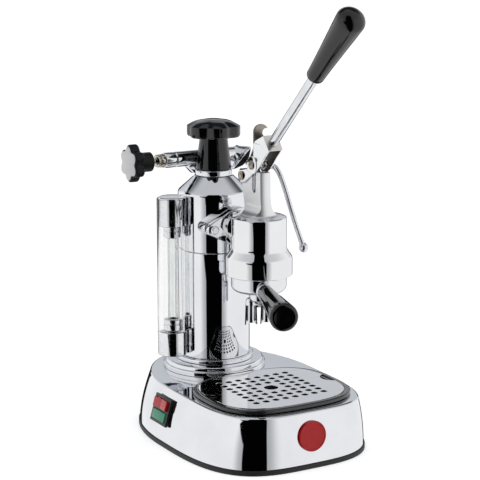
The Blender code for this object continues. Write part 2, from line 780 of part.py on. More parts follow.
def make_base_shell():
    """Pressed housing: leaning walls, rounded edge and flat deck, open below."""
    edge_foot = DECK_HEIGHT - DECK_EDGE_ROUND
    rings = []
    for index in range(WALL_STEPS + 1):
        height = SHELL_FOOT + (edge_foot - SHELL_FOOT) * index / WALL_STEPS
        rings.append(wall_ring(height, 0.0))
    for index in range(1, EDGE_STEPS + 1):
        angle = math.pi / 2.0 * index / EDGE_STEPS
        inset = DECK_EDGE_ROUND * (1.0 - math.cos(angle))
        rings.append(wall_ring(edge_foot, inset, DECK_EDGE_ROUND * math.sin(angle)))
    shell = smooth(loft("base_shell", rings, cap_first=False))
    wall = shell.modifiers.new("sheet", "SOLIDIFY")
    wall.thickness = SHELL_WALL
    wall.offset = -1.0
    wall.use_even_offset = True
    tray_hole = [tray_ring(TRAY_WALL + GAP - TRAY_LEDGE, height) for height in
                 (DECK_HEIGHT - SHELL_WALL - OVERRUN, DECK_HEIGHT + OVERRUN)]
    cut(shell, loft("tray_hole", tray_hole))
    cut(shell, rod("boiler_hole", STEM_RADIUS + GAP, DECK_HEIGHT - SHELL_WALL - OVERRUN,
                   DECK_HEIGHT + OVERRUN, BIG_POINTS))
    half_width = BEZEL_WIDTH / 2.0 - SWITCH_BODY_INSET + GAP
    half_tall = BEZEL_TALL / 2.0 - SWITCH_BODY_INSET + GAP
    cut(shell, box("switch_window", (-half_width, -half_tall, -SWITCH_BODY_DEPTH),
                   (half_width, half_tall, SWITCH_BODY_DEPTH), *switch_seat()))
    cut(shell, rod("gland_hole", GLAND_NECK_RADIUS + GAP, -OVERRUN - SHELL_WALL, OVERRUN + SHELL_WALL,
                   SMALL_POINTS, *gland_seat()))
    return finish(shell, "chrome")


def make_base_trim():
    """Rubber band under the housing's edge."""
    outer = wall_sizes(SHELL_FOOT)
    rings = []
    for offset in (TRIM_PROUD, TRIM_PROUD - TRIM_WIDTH):
        rings.append(plan(outer[0] + offset, outer[1] + offset, outer[2] + offset,
                          outer[3], outer[4], -WIDEST_AHEAD))
    return finish(sheet("base_trim", rings, 0.0, TRIM_HEIGHT), "rubber")


def make_bottom_plate():
    """Sheet that closes the underside, inside the housing and on the trim."""
    outer = wall_sizes(SHELL_FOOT)
    inset = SHELL_WALL + BOTTOM_PLATE_CLEARANCE
    outline = plan(outer[0] - inset, outer[1] - inset, outer[2] - inset, outer[3], outer[4], -WIDEST_AHEAD)
    plate = sheet("bottom_plate", [outline], SHELL_FOOT, SHELL_FOOT + BOTTOM_PLATE_THICKNESS)
    return finish(plate, "steel")


def switch_seat():
    """Place and turn of the switch: local z out of the wall, local x along the wall, local y up it."""
    lean = wall_lean(SWITCH_HEIGHT, 0)
    half_width = wall_sizes(SWITCH_HEIGHT)[0]
    place = (-half_width, -SWITCH_AHEAD, SWITCH_HEIGHT)
    return place, (math.pi / 2.0 - lean, 0.0, -math.pi / 2.0)


def make_switch():
    """Bezel with its body behind the wall, red rocker above, green lamp below."""
    place, turn = switch_seat()
    half_width = BEZEL_WIDTH / 2.0
    half_tall = BEZEL_TALL / 2.0
    front = GAP + BEZEL_THICKNESS
    bezel = box("switch_bezel", (-half_width, -half_tall, GAP), (half_width, half_tall, front), place, turn)
    soften(bezel, BEZEL_RIM / 4.0)
    inner_width = half_width - SWITCH_BODY_INSET
    inner_tall = half_tall - SWITCH_BODY_INSET
    join(bezel, box("switch_body", (-inner_width, -inner_tall, -SWITCH_BODY_DEPTH),
                    (inner_width, inner_tall, GAP + BEZEL_THICKNESS / 2.0), place, turn))
    pocket_width = half_width - BEZEL_RIM
    pocket_tall = half_tall - BEZEL_RIM
    bridge = SWITCH_BRIDGE / 2.0
    back = front - ROCKER_DEPTH
    mouth = front + OVERRUN
    cut(bezel, box("rocker_pocket", (-pocket_width, bridge, back), (pocket_width, pocket_tall, mouth),
                   place, turn))
    cut(bezel, box("lamp_pocket", (-pocket_width, -pocket_tall, back), (pocket_width, -bridge, mouth),
                   place, turn))
    finish(bezel, "black_plastic")

    tall_middle = (bridge + pocket_tall) / 2.0
    half_rocker = pocket_width - ROCKER_SIDE_GAP
    half_tall_rocker = (pocket_tall - bridge) / 2.0 - GAP
    crown = front + ROCKER_PROUD
    outline = [
        (-half_rocker, front),
        (-half_rocker * 0.96, crown),
        (0.0, crown - ROCKER_PROUD / 2.0),
        (half_rocker * 0.96, crown),
        (half_rocker, front),
        (half_rocker * 0.5, back + GAP * 4.0),
        (0.0, back + GAP),
        (-half_rocker * 0.5, back + GAP * 4.0),
    ]
    rocker = loft("switch_rocker", [
        [(x, tall_middle + side, z) for x, z in outline] for side in (-half_tall_rocker, half_tall_rocker)
    ])
    rocker.location = place
    rocker.rotation_euler = turn
    finish(rocker, "red")

    lamp = box("pilot_lamp", (-half_rocker, -tall_middle - half_tall_rocker, back + GAP),
               (half_rocker, -tall_middle + half_tall_rocker, front + LAMP_PROUD), place, turn)
    finish(soften(lamp, LAMP_PROUD * 0.8), "green")
    return bezel, rocker, lamp


def make_badge():
    """Plain red disc with a raised rim on the front wall."""
    lean = wall_lean(BADGE_HEIGHT, 1)
    y = -WIDEST_AHEAD - wall_sizes(BADGE_HEIGHT)[1]
    base = GAP
    top = base + BADGE_THICKNESS
    profile = [
        (0.0, top - BADGE_RIM_RISE),
        (BADGE_RADIUS - BADGE_RIM - BADGE_RIM_RISE, top - BADGE_RIM_RISE),
        (BADGE_RADIUS - BADGE_RIM, top),
        (BADGE_RADIUS - BADGE_RIM_RISE, top),
        (BADGE_RADIUS, top - BADGE_RIM_RISE),
        (BADGE_RADIUS, base),
        (0.0, base),
    ]
    badge = turned("badge_disc", profile, MID_POINTS, False, (0.0, y, BADGE_HEIGHT),
                   (math.pi / 2.0 - lean, 0.0, 0.0))
    return finish(badge, "red")


def gland_seat():
    """Place and turn of the gland: local z out of the rear wall."""
    lean = wall_lean(GLAND_HEIGHT, 2)
    y = wall_sizes(GLAND_HEIGHT)[2] - WIDEST_AHEAD
    return (0.0, y, GLAND_HEIGHT), (-math.pi / 2.0 + lean, 0.0, 0.0)


def make_gland():
    """Bush in the rear wall where a lead would leave."""
    place, turn = gland_seat()
    corners = [
        (GLAND_BORE, GAP + GLAND_PROUD),
        (GLAND_RADIUS * 0.7, GAP + GLAND_PROUD, GLAND_BORE * 0.3),
        (GLAND_RADIUS, GAP + GLAND_PROUD / 3.0),
        (GLAND_RADIUS, GAP),
        (GLAND_NECK_RADIUS, GAP),
        (GLAND_NECK_RADIUS, -GLAND_INSIDE),
        (GLAND_BORE, -GLAND_INSIDE),
    ]
    return finish(turned("cable_gland", round_corners(corners), SMALL_POINTS, True, place, turn), "rubber")


def tray_sizes(offset):
    """Half width, front reach and rear reach of the tray outline moved outwards by an offset."""
    return GRID_HALF_WIDTH + offset, GRID_REACH + offset, GRID_REACH + offset * REAR_RIM_SHARE


def tray_ring(offset, height):
    """Ring of the tray outline at a height."""
    half_width, front, rear = tray_sizes(offset)
    outline = plan(half_width, front, rear, TRAY_POWER, TRAY_POWER, -TRAY_AHEAD)
    return [(x, y, height) for x, y in outline]


def make_drip_tray():
    """Basin that hangs in the deck by its rounded rim, with a ledge for the grid."""
    rim_foot = DECK_HEIGHT + GAP
    ledge = GRID_TOP - GRID_THICKNESS - GAP
    rim_top = GRID_TOP - GAP
    round_in = TRAY_RIM_ROUND * 0.3
    floor_top = TRAY_FLOOR + TRAY_WALL
    steps = [
        (TRAY_WALL - TRAY_LEDGE - TRAY_WALL, TRAY_FLOOR),
        (TRAY_WALL - TRAY_LEDGE, TRAY_FLOOR + TRAY_WALL),
        (TRAY_WALL - TRAY_LEDGE, rim_foot),
        (TRAY_RIM_OUT - round_in, rim_foot),
        (TRAY_RIM_OUT, rim_foot + round_in * 2.0),
        (TRAY_RIM_OUT - round_in, rim_top - round_in * 2.0),
        (TRAY_RIM_OUT - TRAY_RIM_ROUND, rim_top),
        (GAP * 2.0, rim_top),
        (GAP * 2.0, ledge),
        (-TRAY_LEDGE, ledge),
        (-TRAY_LEDGE, floor_top + TRAY_WALL),
        (-TRAY_LEDGE - TRAY_WALL, floor_top),
    ]
    tray = smooth(loft("drip_tray", [tray_ring(offset, height) for offset, height in steps]))
    return finish(tray, "grey_plastic")


def make_drip_grid():
    """Steel plate with eight by eight holes, one large hole in the middle and two finger notches."""
    half_width, front, rear = tray_sizes(0.0)
    outline = plan(half_width, front, rear, TRAY_POWER, TRAY_POWER, -TRAY_AHEAD)
    outlines = [outline, circle(0.0, -TRAY_AHEAD, MIDDLE_HOLE_RADIUS, SMALL_POINTS)]
    middle = (HOLES_EACH_WAY - 1) / 2.0
    for row in range(HOLES_EACH_WAY):
        for column in range(HOLES_EACH_WAY):
            across, along = column - middle, row - middle
            if abs(across) > 0.6 or abs(along) > 0.6:
                outlines.append(circle(across * HOLE_PITCH_X, -TRAY_AHEAD + along * HOLE_PITCH_Y,
                                       HOLE_RADIUS, FACETS_GRID_HOLE))
    low = GRID_TOP - GRID_THICKNESS
    grid = sheet("drip_grid", outlines, low, GRID_TOP)
    for side in (-1.0, 1.0):
        x = side * (GRID_HALF_WIDTH + NOTCH_OUTSIDE)
        cut(grid, rod("grid_notch", NOTCH_RADIUS, low - OVERRUN, GRID_TOP + OVERRUN, MID_POINTS,
                      (x, -TRAY_AHEAD, 0.0)))
    return finish(grid, "steel")


def make_boiler_foot():
    """Stepped ring on the deck, the clamped foot through it, and the nut below the deck."""
    foot = DECK_HEIGHT + GAP
    hole = STEM_RADIUS + GAP
    ring = round_corners([
        (hole, FLANGE_TOP),
        (FLANGE_RADIUS - FLANGE_STEP, FLANGE_TOP, FLANGE_ROUND),
        (FLANGE_RADIUS - FLANGE_STEP, FLANGE_STEP_HEIGHT),
        (FLANGE_RADIUS, FLANGE_STEP_HEIGHT, FLANGE_ROUND),
        (FLANGE_RADIUS, foot),
        (hole, foot),
    ])
    finish(turned("boiler_flange", ring, BIG_POINTS, True), "chrome")
    collar = round_corners([
        (STEM_BORE, COLLAR_TOP),
        (COLLAR_RADIUS, COLLAR_TOP, FLANGE_ROUND / 2.0),
        (COLLAR_RADIUS, FLANGE_TOP + GAP),
        (STEM_RADIUS, FLANGE_TOP + GAP),
        (STEM_RADIUS, STEM_FOOT),
        (STEM_BORE, STEM_FOOT),
    ])
    finish(turned("boiler_base", collar, BIG_POINTS, True), "chrome")
    nut_top = DECK_HEIGHT - SHELL_WALL - GAP
    nut = [
        (hole, nut_top),
        (RING_NUT_RADIUS, nut_top),
        (RING_NUT_RADIUS, RING_NUT_FOOT),
        (hole, RING_NUT_FOOT),
    ]
    finish(turned("boiler_ring_nut", nut, BIG_POINTS, True), "brass")


def make_boiler():
    """Lower tube, and the upper part with shoulder, filler neck, flange boss and ports."""
    inner = BOILER_RADIUS - BOILER_WALL
    foot = COLLAR_TOP + GAP
    lower = [
        (inner, BOILER_SEAM),
        (BOILER_RADIUS - SEAM_LIP, BOILER_SEAM),
        (BOILER_RADIUS, BOILER_SEAM - SEAM_LIP),
        (BOILER_RADIUS, foot),
        (inner, foot),
    ]
    lower_tube = turned("boiler_lower", lower, BIG_POINTS, True)
    cut(lower_tube, sight_port("lower_sight_port", SIGHT_LOWER_MIDDLE))
    finish(lower_tube, "chrome")

    seam = BOILER_SEAM + GAP
    upper = round_corners([
        (NECK_BORE, NECK_TOP),
        (NECK_RADIUS, NECK_TOP),
        (NECK_RADIUS, SHOULDER_TOP),
        (SHOULDER_TOP_RADIUS, SHOULDER_TOP),
        (BOILER_RADIUS, SHOULDER_FOOT, SHOULDER_ROUND),
        (BOILER_RADIUS, seam + SEAM_LIP),
        (BOILER_RADIUS - SEAM_LIP, seam),
        (inner, seam),
        (inner, SHOULDER_FOOT - SHOULDER_DROP / 2.0),
        (SHOULDER_TOP_RADIUS, SHOULDER_TOP - SHOULDER_DROP),
        (NECK_BORE, SHOULDER_TOP - SHOULDER_DROP),
    ])
    upper_part = turned("boiler_upper", upper, BIG_POINTS, True)
    plate = diamond("boiler_diamond", FLANGE_FACE - BOILER_PLATE, FLANGE_FACE, 0.0)
    plate_foot = PORT_HEIGHT - DIAMOND_RADIUS - OVERRUN
    plate_top = PORT_HEIGHT + DIAMOND_RADIUS + OVERRUN
    cut(plate, rod("plate_seat", BOILER_RADIUS - BOILER_WALL / 2.0, plate_foot, plate_top, BIG_POINTS))
    join(upper_part, plate)
    cut(upper_part, rod("boiler_port", PORT_BORE, inner - OVERRUN, FLANGE_FACE + OVERRUN,
                        SMALL_POINTS, (0.0, 0.0, PORT_HEIGHT), FORWARD_TURN))
    for side in (-1.0, 1.0):
        cut(upper_part, bolt_hole("boiler_bolt_hole", side))
    cut(upper_part, sight_port("upper_sight_port", SIGHT_UPPER_MIDDLE))
    cut(upper_part, rod("valve_port", VALVE_STUB_RADIUS + GAP, VALVE_STUB_FOOT - OVERRUN,
                        SHOULDER_TOP + OVERRUN, SMALL_POINTS, (0.0, VALVE_BACK, 0.0)))
    cut(upper_part, rod("safety_port", SAFETY_STUB_RADIUS + GAP, BOILER_RADIUS - OVERRUN * 2.0,
                        BOILER_RADIUS + OVERRUN, SMALL_POINTS, (0.0, 0.0, SAFETY_HEIGHT), BACKWARD_TURN))
    finish(upper_part, "chrome")


def sight_port(name, height):
    """Cutter for the hole that a sight block's spigot enters."""
    return rod(name, SIGHT_SPIGOT_RADIUS + GAP, BOILER_RADIUS - SIGHT_SPIGOT_INSIDE - OVERRUN,
               BOILER_RADIUS + OVERRUN, SMALL_POINTS, (0.0, 0.0, height), LEFT_TURN)


def diamond(name, near, far, shrink):
    """Diamond flange plate between two distances ahead of the boiler axis."""
    tangent = math.acos((DIAMOND_RADIUS - EAR_RADIUS) / EAR_SPACING)
    outline = []
    for middle, radius, first, last in (
        (EAR_SPACING, EAR_RADIUS, -tangent, tangent),
        (0.0, DIAMOND_RADIUS, tangent, math.pi - tangent),
        (-EAR_SPACING, EAR_RADIUS, math.pi - tangent, math.pi + tangent),
        (0.0, DIAMOND_RADIUS, math.pi + tangent, 2.0 * math.pi - tangent),
    ):
        steps = DIAMOND_POINTS if middle else 2
        for index in range(steps + 1):
            angle = first + (last - first) * index / steps
            reach = radius - shrink
            outline.append((middle + reach * math.cos(angle), reach * math.sin(angle)))
    return sheet(name, [outline], near, far, (0.0, 0.0, PORT_HEIGHT), FORWARD_TURN)


def bolt_hole(name, side):
    """Cutter for one flange bolt's hole."""
    start = FLANGE_FACE - BOLT_DEPTH - GAP
    end = GROUP_FLANGE_FRONT + OVERRUN
    place = (side * EAR_SPACING, 0.0, PORT_HEIGHT)
    return rod(name, BOLT_RADIUS + GAP, start, end, SMALL_POINTS, place, FORWARD_TURN)


def make_element():
    """Two-turn heating coil brazed to the plate that closes the boiler's foot."""
    plate_foot = COLLAR_TOP + GAP
    plate_top = plate_foot + ELEMENT_PLATE_THICKNESS
    plate = rod("element_disc", BOILER_RADIUS - BOILER_WALL - GAP, plate_foot, plate_top, MID_POINTS)
    count = ELEMENT_COIL_TURNS * ELEMENT_POINTS_PER_TURN
    route = [Vector((ELEMENT_COIL_RADIUS, 0.0, plate_foot - ELEMENT_TAIL)),
             Vector((ELEMENT_COIL_RADIUS, 0.0, ELEMENT_COIL_HEIGHT - ELEMENT_COIL_PITCH / 2.0))]
    for index in range(1, count + 1):
        angle = 2.0 * math.pi * index / ELEMENT_POINTS_PER_TURN
        height = ELEMENT_COIL_HEIGHT + ELEMENT_COIL_PITCH * index / ELEMENT_POINTS_PER_TURN
        x, y = ELEMENT_COIL_RADIUS * math.cos(angle), ELEMENT_COIL_RADIUS * math.sin(angle)
        route.append(Vector((x, y, height)))
    top = route[-1].z
    route.append(Vector((ELEMENT_COIL_RADIUS / 2.0, 0.0, top + ELEMENT_COIL_PITCH / 2.0)))
    route.append(Vector((0.0, 0.0, top)))
    route.append(Vector((0.0, 0.0, plate_foot - ELEMENT_TAIL)))
    coil = smooth(tube("heating_element", route, ELEMENT_TUBE_RADIUS))
    finish(join(coil, plate), "steel")


def lobed_ring(radius, depth, height, phase=0.0):
    """Ring whose radius swells and dips once for each lobe of a knob."""
    count = KNOB_LOBES * POINTS_PER_LOBE
    ring = []
    for index in range(count):
        angle = 2.0 * math.pi * index / count
        wave = (1.0 - math.cos(KNOB_LOBES * (angle - phase))) / 2.0
        reach = radius - depth * wave ** 2
        ring.append((reach * math.cos(angle), reach * math.sin(angle), height))
    return ring


def make_cap():
    """Collar round the filler neck, skirted screw cap with plug, its seal and the lobed knob."""
    collar_foot = SHOULDER_TOP + GAP
    collar_top = CAP_FOOT - GAP
    collar = round_corners([
        (NECK_RADIUS + GAP, collar_top),
        (FILLER_COLLAR_RADIUS, collar_top, FILLER_COLLAR_ROUND),
        (FILLER_COLLAR_RADIUS, collar_foot, FILLER_COLLAR_ROUND),
        (NECK_RADIUS + GAP, collar_foot),
    ])
    finish(turned("filler_collar", collar, MID_POINTS, True), "chrome")
    cap = round_corners([
        (0.0, CAP_WAIST_HEIGHT),
        (CAP_WAIST_RADIUS, CAP_WAIST_HEIGHT),
        (CAP_FOOT_RADIUS, CAP_FOOT, FILLER_COLLAR_ROUND / 2.0),
        (NECK_RADIUS + GAP * 2.0, CAP_FOOT),
        (NECK_RADIUS + GAP * 2.0, CAP_ROOF),
        (CAP_PLUG_RADIUS, CAP_ROOF),
        (CAP_PLUG_RADIUS, CAP_PLUG_FOOT),
        (0.0, CAP_PLUG_FOOT),
    ], closed=False)
    finish(turned("boiler_cap", cap, MID_POINTS), "black_plastic")
    seal_foot = NECK_TOP + GAP
    seal_top = seal_foot + CAP_GASKET_THICKNESS
    seal = [
        (CAP_PLUG_RADIUS + GAP, seal_top),
        (NECK_RADIUS, seal_top),
        (NECK_RADIUS, seal_foot),
        (CAP_PLUG_RADIUS + GAP, seal_foot),
    ]
    finish(turned("cap_gasket", seal, MID_POINTS, True), "white_seal")
    phase = KNOB_PHASE * DEG
    tall = KNOB_TOP - KNOB_FOOT
    rings = [lobed_ring(CAP_WAIST_RADIUS, 0.0, CAP_WAIST_HEIGHT + GAP, phase)]
    for wide, deep, high in KNOB_LEVEL_SHARES:
        rings.append(lobed_ring(KNOB_RADIUS * wide, KNOB_LOBE_DEPTH * deep, KNOB_FOOT + tall * high, phase))
    finish(smooth(loft("cap_knob", rings)), "black_plastic")


def make_sight_glass():
    """Two blocks hooked into the boiler wall, nuts, the glass and its clear half-round guard."""
    spans = {"upper": (SIGHT_UPPER_FOOT, SIGHT_TOP), "lower": (SIGHT_FOOT, SIGHT_LOWER_TOP)}
    tube_low = SIGHT_LOWER_TOP - SIGHT_TUBE_DEPTH
    tube_high = SIGHT_UPPER_FOOT + SIGHT_TUBE_DEPTH
    place = (-SIGHT_OUT, 0.0, 0.0)
    for name, (low, high) in spans.items():
        middle = (low + high) / 2.0
        corners = round_corners([
            (0.0, high),
            (SIGHT_BLOCK_RADIUS, high, SIGHT_BLOCK_ROUND),
            (SIGHT_BLOCK_RADIUS, low, SIGHT_BLOCK_ROUND / 3.0),
            (0.0, low),
        ], closed=False)
        block = turned("sight_block_" + name, corners, MID_POINTS, False, place)
        cut(block, rod("boiler_clearance", BOILER_RADIUS + GAP, low - OVERRUN, high + OVERRUN, BIG_POINTS))
        join(block, rod("sight_spigot", SIGHT_SPIGOT_RADIUS, BOILER_RADIUS - SIGHT_SPIGOT_INSIDE,
                        SIGHT_OUT, SMALL_POINTS, (0.0, 0.0, middle), LEFT_TURN))
        hole = (low - OVERRUN, tube_high + GAP) if name == "upper" else (tube_low - GAP, high + OVERRUN)
        cut(block, rod("sight_tube_hole", SIGHT_TUBE_RADIUS + GAP, *hole, SMALL_POINTS, place))
        cut(block, rod("sight_passage", SIGHT_SPIGOT_BORE, BOILER_RADIUS - SIGHT_SPIGOT_INSIDE - OVERRUN,
                       SIGHT_OUT, TINY_POINTS, (0.0, 0.0, middle), LEFT_TURN))
        finish(block, "chrome")
        nut_low = low - GAP - SIGHT_NUT_TALL if name == "upper" else high + GAP
        nut_high = nut_low + SIGHT_NUT_TALL
        bore = SIGHT_TUBE_RADIUS + GAP
        nut = round_corners([
            (bore, nut_high),
            (SIGHT_NUT_RADIUS, nut_high, SIGHT_BLOCK_ROUND),
            (SIGHT_NUT_RADIUS, nut_low, SIGHT_BLOCK_ROUND),
            (bore, nut_low),
        ], 2)
        finish(turned("sight_nut_" + name, nut, SMALL_POINTS, True, place), "chrome")
    inner = SIGHT_TUBE_RADIUS - SIGHT_TUBE_WALL
    glass = [
        (inner, tube_high),
        (SIGHT_TUBE_RADIUS, tube_high),
        (SIGHT_TUBE_RADIUS, tube_low),
        (inner, tube_low),
    ]
    finish(turned("sight_glass_tube", glass, SMALL_POINTS, True, place), "clear")

    inner = SIGHT_BLOCK_RADIUS + GAP
    outer = inner + SHIELD_THICKNESS
    first = SHIELD_OPENING * DEG
    sweep = 2.0 * math.pi - 2.0 * first
    angles = [first + sweep * index / SHIELD_POINTS for index in range(SHIELD_POINTS + 1)]
    outline = [(outer * math.cos(angle), outer * math.sin(angle)) for angle in angles]
    outline += [(inner * math.cos(angle), inner * math.sin(angle)) for angle in reversed(angles)]
    shield = sheet("sight_shield", [outline], SIGHT_FOOT, SIGHT_TOP - SIGHT_BLOCK_ROUND, place)
    finish(shield, "clear")


def make_steam_valve():
    """Body behind the cap with its saddle, packing nut, spindle and star knob."""
    axis = (0.0, VALVE_BACK, VALVE_HEIGHT)
    groove = -VALVE_GROOVE_AT
    inner = VALVE_RADIUS - VALVE_GROOVE_DEPTH
    body = turned("steam_valve_body", [
        (0.0, VALVE_RIGHT),
        (VALVE_RADIUS - VALVE_GROOVE_DEPTH, VALVE_RIGHT),
        (VALVE_RADIUS, VALVE_RIGHT - VALVE_GROOVE_DEPTH),
        (VALVE_RADIUS, groove + VALVE_GROOVE_WIDTH),
        (inner, groove + VALVE_GROOVE_WIDTH / 2.0),
        (VALVE_RADIUS, groove),
        (VALVE_RADIUS, -VALVE_LEFT + VALVE_GROOVE_DEPTH),
        (inner, -VALVE_LEFT),
        (0.0, -VALVE_LEFT),
    ], MID_POINTS, False, axis, RIGHT_TURN)
    drop = VALVE_HEIGHT - SADDLE_WAIST_HEIGHT
    foot_drop = VALVE_HEIGHT - SADDLE_FOOT_HEIGHT
    saddle = sheet("valve_saddle", [round_corners([
        (VALVE_RADIUS * 0.9, 0.0),
        (-VALVE_RADIUS * 0.9, 0.0),
        (-SADDLE_HALF_WIDTH, -drop, VALVE_GROOVE_WIDTH),
        (-SADDLE_FOOT_HALF_WIDTH, -foot_drop),
        (SADDLE_FOOT_HALF_WIDTH, -foot_drop),
        (SADDLE_HALF_WIDTH, -drop, VALVE_GROOVE_WIDTH),
    ])], -SADDLE_THICKNESS / 2.0, SADDLE_THICKNESS / 2.0, axis, FORWARD_TURN)
    join(body, saddle)
    join(body, rod("valve_stub", VALVE_STUB_RADIUS, VALVE_STUB_FOOT, VALVE_HEIGHT, SMALL_POINTS,
                   (0.0, VALVE_BACK, 0.0)))
    elbow = Vector((VALVE_RIGHT, VALVE_BACK, VALVE_HEIGHT))
    join(body, rod("wand_stub", WAND_STUB_RADIUS, -WAND_STUB_RADIUS, WAND_STUB_LENGTH, SMALL_POINTS,
                   elbow, facing(WAND_DIRECTION)))
    cut(body, rod("spindle_bore", VALVE_BORE, VALVE_LEFT - VALVE_BORE_DEPTH, VALVE_LEFT + OVERRUN,
                  SMALL_POINTS, axis, LEFT_TURN))
    finish(body, "chrome")

    nut_low = VALVE_LEFT + GAP
    nut_high = nut_low + PACKING_LENGTH
    bore = SPINDLE_RADIUS + GAP
    nut = round_corners([
        (bore, nut_high),
        (PACKING_RADIUS * 0.62, nut_high),
        (PACKING_RADIUS, nut_high - PACKING_LENGTH / 3.0, VALVE_GROOVE_WIDTH),
        (PACKING_RADIUS, nut_low, VALVE_GROOVE_WIDTH),
        (bore, nut_low),
    ], 2)
    finish(turned("packing_nut", nut, SMALL_POINTS, True, axis, LEFT_TURN), "chrome")

    spindle_end = STEAM_HUB_START + STEAM_KNOB_BORE_DEPTH - GAP
    spindle = rod("steam_spindle", SPINDLE_RADIUS, VALVE_LEFT - SPINDLE_INSIDE, spindle_end,
                  SMALL_POINTS, axis, LEFT_TURN)
    finish(spindle, "steel")

    back, front = STEAM_STAR_START, STEAM_STAR_START + STEAM_STAR_THICKNESS
    edge = STEAM_HUB_ROUND / 2.0
    hub = STEAM_HUB_RADIUS
    star = STEAM_STAR_RADIUS
    depth = STEAM_STAR_LOBE * 2.0
    levels = (
        (hub - edge, 0.0, STEAM_HUB_START),
        (hub, 0.0, STEAM_HUB_START + edge * 2.0),
        (hub, 0.0, back),
        (star - edge, depth, back + edge),
        (star, depth, back + edge * 2.0),
        (star, depth, front - edge),
        (star - edge, depth, front),
    )
    rings = [lobed_ring(*level) for level in levels]
    knob = smooth(loft("steam_knob", rings))
    knob.location = axis
    knob.rotation_euler = LEFT_TURN
    cut(knob, rod("spindle_socket", SPINDLE_RADIUS + GAP, STEAM_HUB_START - OVERRUN,
                  STEAM_HUB_START + STEAM_KNOB_BORE_DEPTH, SMALL_POINTS, axis, LEFT_TURN))
    finish(knob, "black_plastic")
    face_radius = star - edge - STEAM_FACE_INSET
    face_levels = (front + GAP, front + GAP + STEAM_FACE_THICKNESS)
    face = smooth(loft("steam_knob_face", [lobed_ring(face_radius, depth, level) for level in face_levels]))
    face.location = axis
    face.rotation_euler = LEFT_TURN
    finish(face, "pale_grey")
    return spindle, knob, face


def make_wand():
    """Cone nut on the valve's elbow, the swan-necked wand it holds and the wand's tip."""
    elbow = Vector((VALVE_RIGHT, VALVE_BACK, VALVE_HEIGHT))
    turn = facing(WAND_DIRECTION)
    pocket = WAND_STUB_RADIUS + GAP
    lip = WAND_NUT_END - WAND_NUT_LIP
    mouth = WAND_RADIUS + GAP
    nut = round_corners([
        (mouth, WAND_NUT_END),
        (WAND_NUT_MOUTH_RADIUS, WAND_NUT_END, GAP * 3.0),
        (WAND_NUT_RADIUS, WAND_NUT_START + WAND_NUT_LIP),
        (WAND_NUT_RADIUS, WAND_NUT_START),
        (pocket, WAND_NUT_START),
        (pocket, lip),
        (mouth, lip),
    ], 2)
    seat = cut_nut_for_valve(turned("wand_nut", nut, MID_POINTS, True, elbow, turn))
    finish(seat, "chrome")

    start = elbow + WAND_DIRECTION * (WAND_STUB_LENGTH + GAP)
    straight = elbow + WAND_DIRECTION * (WAND_NUT_END + WAND_STRAIGHT)
    route = [start] + smooth_route([straight] + [Vector(point) for point in WAND_ROUTE], WAND_SPAN_POINTS)
    wand = smooth(tube("steam_wand", route, WAND_RADIUS))
    seat_high = WAND_STUB_LENGTH + GAP + WAND_SEAT_THICKNESS
    seat_low = WAND_STUB_LENGTH + GAP
    join(wand, rod("wand_seat", WAND_SEAT_RADIUS, seat_low, seat_high, SMALL_POINTS, elbow, turn))
    finish(wand, "chrome")

    end = Vector(WAND_ROUTE[-1])
    along = (end - Vector(WAND_ROUTE[-2])).normalized()
    reach = TIP_RADIUS
    bore = WAND_RADIUS + GAP
    ball = turned_arc(reach, 90.0, -50.0, 6)
    tip = turned("wand_tip", ball + [
        (TIP_SKIRT + GAP, -TIP_OVERLAP),
        (bore, -TIP_OVERLAP),
        (bore, GAP),
        (0.0, GAP),
    ], SMALL_POINTS, False, end, facing(along))
    finish(tip, "chrome")
    return wand, tip


def cut_nut_for_valve(nut):
    """Clear the valve body's end out of the wand nut."""
    return cut(nut, rod("valve_clearance", VALVE_RADIUS + GAP, 0.0, VALVE_RIGHT + GAP, MID_POINTS,
                        (0.0, VALVE_BACK, VALVE_HEIGHT), RIGHT_TURN))


def make_safety_valve():
    """Relief valve in the back of the boiler."""
    face = BOILER_RADIUS + GAP
    hexagon = face + SAFETY_HEX_THICKNESS
    corners = round_corners([
        (0.0, face + SAFETY_LENGTH),
        (SAFETY_RADIUS * SAFETY_TIP_SHARE, face + SAFETY_LENGTH),
        (SAFETY_RADIUS, face + SAFETY_LENGTH * SAFETY_SHOULDER_SHARE, SAFETY_WALL_ROUND),
        (SAFETY_RADIUS, hexagon),
        (SAFETY_HEX_RADIUS, hexagon),
        (SAFETY_HEX_RADIUS, face),
        (SAFETY_STUB_RADIUS, face),
        (SAFETY_STUB_RADIUS, BOILER_RADIUS - SAFETY_STUB),
        (0.0, BOILER_RADIUS - SAFETY_STUB),
    ], 2, False)
    valve = turned("safety_valve", corners, SMALL_POINTS, False, (0.0, 0.0, SAFETY_HEIGHT), BACKWARD_TURN)
    finish(valve, "brass")


